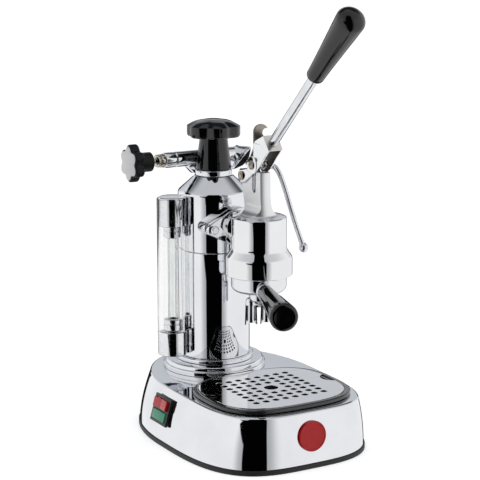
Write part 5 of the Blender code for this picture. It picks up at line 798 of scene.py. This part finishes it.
def make_steam_valve():
    """Valve body, packing nut, spindle, star knob and its face."""
    bar = spin(((0.0, 44.0), (8.2, 44.0, 1.5), (8.2, -31.4, 0.2), (7.4, -32.4, 0.2), (8.2, -33.4, 0.2),
                (8.2, -45.5, 0.8), (0.0, -45.5)), VALVE, RIGHT, MIDDLE, 4)
    outline = arcs(mm((7.6, 0.0), (-7.6, 0.0), (-17.5, -9.0, 1.2), (-10.5, -16.4), (10.5, -16.4),
                      (17.5, -9.0, 1.2)), 5)
    saddle = front_slab(outline, -5.5 * MM, 5.5 * MM, 0.6 * MM, VALVE)
    stub = drum(5.0, -3.0, 25.0, VALVE - UP * (27.0 * MM))
    arm = spin(((0.0, 9.5), (6.0, 9.5), (6.0, 5.5), (14.3, 5.5, 0.4), (14.3, 4.4, 1.0), (8.6, -3.5, 4.0),
                (8.15, -6.0), (0.0, -8.0)), ELBOW, WAND_WAY, MIDDLE, 5)
    fit("steam_bar", [bar, saddle, stub, arm], "steam_valve_body", chrome)
    turned("gland_nut", "packing_nut", nickel,
           ((3.0, 54.8), (5.4, 54.8, 0.4), (6.9, 53.6, 0.4), (6.9, 51.9, 0.3), (5.7, 51.5, 0.2),
            (5.7, 50.4, 0.2), (7.2, 50.0, 0.3), (7.2, 45.8, 0.5), (3.0, 45.8)), VALVE, LEFT, SMALL, steps=4)
    fit("tap_spindle", [drum(2.7, 21.5, 73.1, VALVE, LEFT)], "steam_spindle", steel_turned)
    section = arcs(mm((3.0, 60.6), (10.3, 60.6, 1.2), (10.3, 75.8, 1.5), (20.0, 75.8, 2.5), (20.0, 86.2, 1.5),
                      (14.0, 86.2)), 6, False)
    rows = [(radius, 4.2 * MM * fade(radius, 10.5 * MM, 17.5 * MM), height) for radius, height in section]
    fit("tap_star", [star(rows)], "steam_knob", tap_black, 50.0)
    rows = mm((17.8, 3.9, 86.5), (18.0, 3.9, 86.7), (18.0, 3.9, 87.2), (17.7, 3.9, 87.3))
    fit("tap_face", [star(rows)], "steam_knob_face", pale_disc, 50.0)


def make_wand():
    """Cone nut with a near-black ring in its mouth as painted shade, swan-necked wand and tip."""
    turned("wand_cone", "wand_nut", chrome_small,
           ((3.3, 13.0), (5.0, 13.0, 0.6), (14.2, 8.3, 0.3), (15.3, 8.3, 0.5), (15.3, 5.8, 0.5), (6.3, 5.8),
            (6.3, 11.0), (3.3, 11.0)), ELBOW, WAND_WAY, MIDDLE, steps=5)
    # Painted shade: a near-black ring that reflects almost nothing lies in the cone's mouth
    ring_shape = spin(((5.3, 13.3), (13.6, 9.1, 0.3), (13.6, 8.7), (5.3, 12.95)), ELBOW, WAND_WAY, MIDDLE, 3)
    detail(build("wand_cone_shade_ring", [ring_shape]), BODY_OF["wand_nut"], cone_shade_black)
    bends = mm((61.5, 4.0, 266.8), (66.4, -9.0, 271.0), (69.6, -17.0, 266.0), (72.7, -24.4, 251.0),
               (78.1, -37.8, 214.0), (82.6, -48.8, 187.0))
    route = [ELBOW + WAND_WAY * (21.5 * MM)] + [Vector(bend) for bend in bends]
    path = [ELBOW + WAND_WAY * (9.8 * MM)] + spline(route, 12)
    fit("wand_pipe", [tube(path, 3.0 * MM)], "steam_wand", chrome_small)
    along = (route[-1] - route[-2]).normalized()
    tip = mm((0.0, 5.2)) + arc_points((0.0, 0.0), 5.2 * MM, 85.0, -50.0, 15) + mm((3.6, -5.0), (3.05, -5.0))
    fit("wand_end", [lathe(tip, route[-1], along, SMALL)], "wand_tip", chrome_small)


# Group and lever

GROUP = Vector((0.0, -94.0 * MM, 0.0))
PIVOT = (73.1 * MM, 276.7 * MM)
PISTON_PIN = (94.0 * MM, 290.4 * MM)
LEVER_RISE = 44.0 * DEG


def neck_flat(sign):
    """Space beside the neck: upright flat with a concave run-out at its foot."""
    outline = mm((29.6, 290.0), (6.0, 290.0))
    outline += arc_points((17.8 * MM, 251.2 * MM), 11.8 * MM, 180.0, 270.0, 24) + mm((29.6, 239.4))
    return front_slab([(sign * x, height) for x, height in outline], 60.0 * MM, 128.0 * MM)


def make_group():
    """Bell with its cylinder, slotted neck, rear lug and inlet flange."""
    bell = spin(((4.3, 284.0), (13.6, 284.0, 1.2), (14.2, 256.0, 60.0), (17.8, 239.0, 3.0),
                 (28.2, 237.0, 2.0), (28.2, 204.5, 7.0), (34.3, 195.5, 7.0), (34.3, 177.0, 1.3),
                 (27.0, 177.0), (27.0, 186.4), (24.5, 186.4), (24.5, 229.0), (9.3, 229.0), (9.3, 236.3),
                 (4.3, 236.3)), GROUP, steps=12)
    item = build("group_bell", [bell])
    lug = mm((89.6, 239.3), (89.6, 277.2)) + arc_points(PIVOT, 6.8 * MM, 80.0, 240.0, 16) + mm((76.2, 242.0))
    carve(item, [side_slab(lug, -6.0 * MM, 6.0 * MM)], operation="UNION")
    slot = arc_points((94.0 * MM, 265.6 * MM), 3.7 * MM, 180.0, 360.0, 16) + mm((97.7, 290.0), (90.3, 290.0))
    carve(item, [neck_flat(-1.0), neck_flat(1.0), side_slab(slot, -20.0 * MM, 20.0 * MM),
                 drum(5.2, 258.0, 290.0, GROUP), drum(3.3, -20.0, 20.0, (0.0, -PIVOT[0], PIVOT[1]), RIGHT)])
    inlet = spin(((0.0, 68.0), (15.0, 68.0), (15.0, 55.0, 2.0), (19.0, 51.0), (0.0, 51.0)), PORT, FORWARD,
                 MIDDLE, 5)
    merge(item, build("inlet_form", [inlet, flange(47.9 * MM, 54.9 * MM)], 30.0))
    dress(item, "group_body", chrome_group)


def make_lever():
    """Folded fork, pins, rod and grip."""
    outline = arc_points(PIVOT, 7.8 * MM, 115.0, 315.0, 20)
    outline += mm((107.0, 289.0, 40.0), (115.8, 299.3, 30.0), (126.0, 309.2), (115.4, 322.8), (98.8, 315.6),
                  (83.1, 285.9))
    fork = build("lever_yoke", [side_slab(arcs(outline, 8), -FORK_OUTSIDE, FORK_OUTSIDE, 0.5 * MM)])
    inward = fold_inward()
    near, far = FOLD_FOOT + inward * (2.0 * MM), FOLD_TOP + inward * (2.0 * MM)
    beyond = (FOLD_TOP - FOLD_FOOT).normalized() * (90.0 * MM)
    across = inward * (90.0 * MM)
    hollow = [near - beyond, far + beyond, far + beyond + across, near - beyond + across]
    carve(fork, [side_slab([tuple(point) for point in hollow], -FORK_INSIDE, FORK_INSIDE)])
    tab = mm((-8.4, 305.0), (8.4, 305.0), (8.4, 324.8))
    for x, y in arc_points((0.0, 0.0), 1.0, 11.25, 168.75, 14):
        tab += mm((8.4 * x, 324.8 + 7.2 * y))
    tab += mm((-8.4, 324.8))
    carve(fork, [front_slab(tab, 95.6 * MM, 97.3 * MM, 0.3 * MM)], operation="UNION")
    carve(fork, [drum(4.2, 92.0, 100.0, (6.0 * MM, 0.0, 323.2 * MM), FORWARD)])
    pin, pivot = Vector(PISTON_PIN), Vector(PIVOT)
    along = (pin - pivot).normalized()
    tilt = math.degrees(math.atan2(along.y, along.x))
    slot = arc_points(pin + along * (2.4 * MM), 4.1 * MM, tilt - 90.0, tilt + 90.0, 12)
    slot += arc_points(pin - along * (4.6 * MM), 4.1 * MM, tilt + 90.0, tilt + 270.0, 12)
    eye = arc_points(PIVOT, 3.3 * MM, 0.0, 351.0, 40)
    carve(fork, [side_slab(slot, -12.0 * MM, -6.0 * MM), side_slab(slot, 6.0 * MM, 12.0 * MM),
                 side_slab(eye, -12.0 * MM, 12.0 * MM)])
    dress(fork, "lever_fork", yoke_and_shade)
    make_pin("yoke_pin", "pivot_pin", PIVOT, 3.0)
    make_pin("link_pin", "piston_pin", PISTON_PIN, 2.8)

    middle = (FOLD_FOOT + FOLD_TOP) / 2.0
    place = Vector((0.0, -middle.x, middle.y))
    way = Vector((0.0, -math.cos(LEVER_RISE), math.sin(LEVER_RISE)))
    turned("lever_bar", "lever_rod", chrome_small,
           ((0.0, 130.0), (5.0, 130.0), (5.0, 0.9, 0.5), (3.4, 0.9), (3.4, -4.0), (0.0, -4.0)),
           place, way, MIDDLE, 4)
    grip = grip_profile(104.5, 197.0, 8.7, 14.2, 11.0, 14.2, 5.3, 130.3)
    turned("lever_handle", "lever_grip", phenolic, grip, place, way, MIDDLE, sharp=50.0)


def make_pin(name, node_name, centre, radius):
    """Headed pin across the fork, the piston pin's washer, and the clip on the right-hand end."""
    place = Vector((0.0, -centre[0], centre[1]))
    turned(name, node_name, pin_steel,
           ((0.0, 10.3), (radius, 10.3, 0.4), (radius, -9.1), (4.6, -9.1), (4.6, -10.2, 0.4),
            (radius + 0.8, -10.2, 0.2), (radius + 0.4, -9.6, 0.1), (radius, -9.6), (radius - 0.3, -10.3, 0.3),
            (0.0, -10.4)), place, RIGHT, SMALL, 4)
    if node_name == "piston_pin":
        ring_shape = spin(((radius + 0.1, -8.5), (9.0, -8.5), (9.0, -8.95, 0.15), (radius + 0.1, -8.95)), place,
                      RIGHT, MIDDLE, 3)
        detail(build(name + "_washer", [ring_shape]), BODY_OF[node_name], yoke_and_shade)
    turned(name + "_ring", node_name + "_clip", steel_turned,
           ((radius + 0.3, 9.5), (4.8, 9.5, 0.3), (4.8, 8.7, 0.2), (radius + 0.3, 8.7)), place, RIGHT, SMALL,
           steps=3)


def grip_profile(start, end, small, large, dome, edge, bore, bore_end):
    """Tapered grip with a blind bore, in millimetres; its end is rounded over the edge's width."""
    swell = end - dome
    profile = [(0.0, end)]
    if edge < large:
        profile.append((large - edge, end - 0.1))
    for index in range(1, 13):
        angle = 90.0 * index / 12.0 * DEG
        profile.append((large - edge + edge * math.sin(angle), swell + dome * math.cos(angle)))
    for index in range(1, 12):
        share = 1.0 - index / 12.0
        profile.append((small + (large - small) * share ** 1.15, start + (swell - start) * share))
    return profile + [(small, start + 1.2), (small - 0.3, start + 0.4), (small - 0.9, start), (bore, start),
                      (bore, bore_end), (0.0, bore_end)]


def make_piston():
    """Rod with its round head; the piston itself stays out of sight."""
    level = PISTON_PIN[1]
    rod = mm((0.0, 295.3)) + arc_points((0.0, level), 4.9 * MM, 84.0, -52.0, 17)
    rod += mm((4.0, 283.5), (4.0, 217.1), (0.0, 217.1))
    item = build("piston_stem", [lathe(rod, GROUP, UP, SMALL)])
    carve(item, [drum(3.1, -12.0, 12.0, GROUP + UP * level, RIGHT)])
    dress(item, "piston_rod", chrome_small)


# Portafilter

HANDLE_ANGLE = 20.6 * DEG
HANDLE_WAY = Vector((-math.sin(HANDLE_ANGLE), -math.cos(HANDLE_ANGLE), 0.0))
HANDLE_SIDE = Vector((math.cos(HANDLE_ANGLE), -math.sin(HANDLE_ANGLE), 0.0))
HANDLE_PLACE = GROUP + UP * (165.9 * MM)
SPOUT_PLACE = GROUP + UP * (147.0 * MM)


def make_portafilter():
    """Bowl, socket, ferrule, handle and spout."""
    bowl = spin(((25.7, 179.0), (26.6, 179.0), (26.6, 176.6), (28.4, 176.6, 0.9), (28.4, 160.0, 6.0),
                 (6.0, 160.0), (6.0, 151.5), (2.6, 151.5), (2.6, 162.5), (25.7, 162.5, 4.2)), GROUP, steps=10)
    socket = spin(((0.0, 58.0), (3.5, 58.0), (3.5, 31.0), (5.8, 31.0, 0.6), (5.8, 28.8, 1.5), (7.6, 26.5),
                   (0.0, 26.5)), HANDLE_PLACE, HANDLE_WAY, MIDDLE, 5)
    fit("filter_bowl", [bowl, socket], "portafilter_body", chrome, 30.0)
    turned("socket_ring", "handle_ferrule", chrome_small,
           ((3.8, 36.0), (8.6, 36.0, 1.2), (8.6, 31.3, 1.2), (3.8, 31.3)), HANDLE_PLACE, HANDLE_WAY, MIDDLE)
    grip = grip_profile(36.3, 137.0, 8.4, 13.9, 4.0, 4.0, 3.8, 58.3)
    turned("filter_handle", "portafilter_handle", phenolic, grip, HANDLE_PLACE, HANDLE_WAY, sharp=50.0)

    collar = ((0.0, 159.7), (9.7, 159.7, 0.6), (9.7, 150.2, 1.2), (5.4, 146.5), (0.0, 146.5))
    item = build("twin_spout", [spin(collar, GROUP, UP, MIDDLE, 4)])
    trough = ((0.0, 153.2), (5.8, 153.2, 5.0), (5.8, 147.0, 20.0), (6.5, 124.0), (0.0, 124.0))
    bore = ((0.0, 145.6), (4.8, 145.6), (5.5, 124.0), (5.5, 117.0), (0.0, 117.0))
    turn = Matrix.Rotation(-HANDLE_ANGLE, 3, "Z")
    shapes = [drum(5.2, -8.0, 8.0, SPOUT_PLACE, HANDLE_SIDE)]
    cutters = [drum(6.3, 151.2, 165.0, GROUP)]
    for sign in (-1.0, 1.0):
        centre = GROUP + HANDLE_SIDE * (sign * 8.0 * MM)
        shapes.append(spin(trough, centre, UP, SMALL, 8))
        cutters.append(spin(bore, centre, UP, SMALL))
        cutters.append(block(*mm((-6.4, -13.0, 119.0), (6.4, -0.9, 145.0)), turn, centre))
    carve(item, shapes, operation="UNION")
    carve(item, cutters)
    dress(item, "spout", chrome_small)


def finish_kept_nodes():
    """Give the nodes that stay as they are their real finishes."""
    kept = (
        (steel_turned, ("bottom_plate", "heating_element", "shower_screen", "filter_basket")),
        (brass, ("boiler_ring_nut", "safety_valve", "rod_gland", "piston")),
        (rubber, ("cable_gland", "piston_seal_upper", "piston_seal_lower", "group_gasket")),
        (seal, ("cap_gasket",)),
    )
    for material, names in kept:
        for name in names:
            for slot in frame["nodes"][name].material_slots:
                slot.material = material


# Camera, floor and light

CAMERA_PLACE = Vector((-0.8325, -1.4871, 0.5599))
CAMERA_PITCH = 77.916 * DEG
CAMERA_YAW = -30.18 * DEG
CAMERA_LENS = 122.15
SENSOR = 36.0
TABLE_RADIUS = 12.0
TABLE_DROP = 0.2 * MM
FLOOR_GLOW = 0.6  # added for the camera, so that the table is white away from the contact shadow


def make_camera():
    """Camera where the photograph's drip grid puts it."""
    data = bpy.data.cameras.new("studio_camera")
    data.lens = CAMERA_LENS
    data.sensor_width = SENSOR
    data.sensor_fit = "HORIZONTAL"
    data.clip_start = 0.01
    camera = add("studio_camera", data)
    camera.location = HOME + CAMERA_PLACE
    camera.rotation_euler = (CAMERA_PITCH, 0.0, CAMERA_YAW)
    bpy.context.scene.camera = camera
    bpy.context.scene.view_settings.view_transform = "Standard"


def make_floor():
    """White table that the chrome doesn't mirror: polished walls see the studio behind it instead."""
    shape = bmesh.new()
    bmesh.ops.create_circle(shape, cap_ends=True, radius=TABLE_RADIUS, segments=64)
    mesh = bpy.data.meshes.new("table")
    shape.to_mesh(mesh)
    shape.free()
    floor = add("table", mesh)
    floor.location = (0.0, 0.0, -TABLE_DROP)
    material = bpy.data.materials.new("table_white")
    material.use_nodes = True
    tree = material.node_tree
    tree.nodes.clear()
    place = node(tree, "ShaderNodeTexCoord")
    noise = node(tree, "ShaderNodeTexNoise", {"Vector": place.outputs["Object"], "Scale": 40.0})
    paper = mix(tree, noise.outputs["Fac"], "f6f6f6", "fafafa")
    diffuse = node(tree, "ShaderNodeBsdfDiffuse", {"Color": paper})
    path = node(tree, "ShaderNodeLightPath")
    seen = maths(tree, "MULTIPLY", path.outputs["Is Camera Ray"], FLOOR_GLOW)
    glow = node(tree, "ShaderNodeEmission", {"Color": (1.0, 1.0, 1.0, 1.0), "Strength": seen})
    lit = node(tree, "ShaderNodeAddShader", {0: diffuse.outputs[0], 1: glow.outputs[0]})
    hidden = maths(tree, "MAXIMUM", path.outputs["Is Glossy Ray"], path.outputs["Is Shadow Ray"])
    through = node(tree, "ShaderNodeBsdfTransparent")
    mixed = node(tree, "ShaderNodeMixShader", {0: hidden, 1: lit.outputs[0], 2: through.outputs[0]})
    node(tree, "ShaderNodeOutputMaterial", {"Surface": mixed.outputs[0]})
    mesh.materials.append(material)


STUDIO_LIGHT = 1.0
FRONT_CARD = 25.2  # degrees either side of the camera's direction
HIGH_CARD = 46.0  # how far the card reaches to the left above level, where the leaning walls look
BESIDE_CARD = 22.0  # degrees over which the white room greys towards the card
REAR_CARD = 24.0  # degrees either side of the way past the machine
REAR_CARD_TOP = 8.5  # degrees above level


def make_studio():
    """White room with a black card in front, a dark one low behind and a soft grey ceiling."""
    world = bpy.data.worlds.new("studio")
    world.use_nodes = True
    bpy.context.scene.world = world
    tree = world.node_tree
    tree.nodes.clear()
    way = node(tree, "ShaderNodeTexCoord")
    x, y, z = node(tree, "ShaderNodeSeparateXYZ", {0: way.outputs["Generated"]}).outputs
    flat = CAMERA_PLACE.copy()
    flat.z = 0.0
    flat.normalize()

    def step(value, start, end):
        """Soft step from 0 at start to 1 at end."""
        return ramp(tree, value, start, end, kind="SMOOTHSTEP")

    # Cosine between a level direction and the camera's, and the share of the way that goes to the left
    level = maths(tree, "SQRT", maths(tree, "ADD", times(tree, x, x), times(tree, y, y)))
    ahead = maths(tree, "ADD", times(tree, x, flat.x), times(tree, y, flat.y))
    facing = maths(tree, "DIVIDE", ahead, maths(tree, "MAXIMUM", level, 0.001))
    leftward = maths(tree, "SUBTRACT", times(tree, x, flat.y), times(tree, y, flat.x))

    # Grey ceiling and rear wall
    room = mix(tree, step(z, 0.3, 0.85), "ffffff", "cfd0d2")
    room = mix(tree, times(tree, step(facing, -0.6, -0.95), step(z, 0.02, 0.16)), room, "cdd0d5")
    high_rear = times(tree, step(facing, -0.3, -0.7), times(tree, step(z, 0.48, 0.6), step(z, 0.95, 0.85)))
    room = mix(tree, high_rear, room, "54575c")
    # Dark card low behind
    past = step(facing, -math.cos((REAR_CARD + 1.5) * DEG), -math.cos((REAR_CARD - 1.5) * DEG))
    under = step(z, math.sin((REAR_CARD_TOP + 1.0) * DEG), math.sin((REAR_CARD_TOP - 1.0) * DEG))
    room = mix(tree, times(tree, past, under), room, "1c1e22")
    # Black card in front, wider to the left above level
    low_card = step(facing, math.cos((FRONT_CARD + 0.7) * DEG), math.cos((FRONT_CARD - 0.7) * DEG))
    low_card = times(tree, low_card, step(z, 0.93, 0.86))
    limit = ramp(tree, z, -0.17, 0.08, math.cos(FRONT_CARD * DEG), math.cos(HIGH_CARD * DEG))
    high_card = times(tree, step(maths(tree, "SUBTRACT", facing, limit), -0.008, 0.008),
                      times(tree, step(leftward, -0.01, 0.0), step(z, 0.34, 0.24)))
    card = maths(tree, "MAXIMUM", low_card, high_card)
    beside = step(facing, math.cos((FRONT_CARD + BESIDE_CARD) * DEG), math.cos(FRONT_CARD * DEG))
    room = mix(tree, times(tree, beside, step(z, 0.93, 0.6)), room, "b9b9ba")
    room = mix(tree, card, room, "020202")
    # The camera sees white, and so does a ray through glass, greyed where the glass bends it far aside
    path = node(tree, "ShaderNodeLightPath")
    unmirrored = maths(tree, "LESS_THAN", path.outputs["Glossy Depth"], 0.5)
    straight = times(tree, path.outputs["Is Transmission Ray"], unmirrored)
    seen = maths(tree, "MAXIMUM", path.outputs["Is Camera Ray"], straight)
    bent = times(tree, straight, step(facing, -0.975, -0.93))
    backdrop = mix(tree, times(tree, card, straight), mix(tree, bent, "ffffff", "a4a4ab"), "303032")
    colour = mix(tree, seen, room, backdrop)
    light = node(tree, "ShaderNodeBackground", {"Color": colour, "Strength": STUDIO_LIGHT})
    node(tree, "ShaderNodeOutputWorld", {"Surface": light.outputs[0]})
    world.cycles.sampling_method = "MANUAL"
    world.cycles.sample_map_resolution = 512


make_camera()
make_floor()
make_studio()
make_base()
make_switch()
make_tray()
make_boiler()
make_joint()
make_sight_glass()
make_steam_valve()
make_wand()
make_group()
make_lever()
make_piston()
make_portafilter()
finish_kept_nodes()
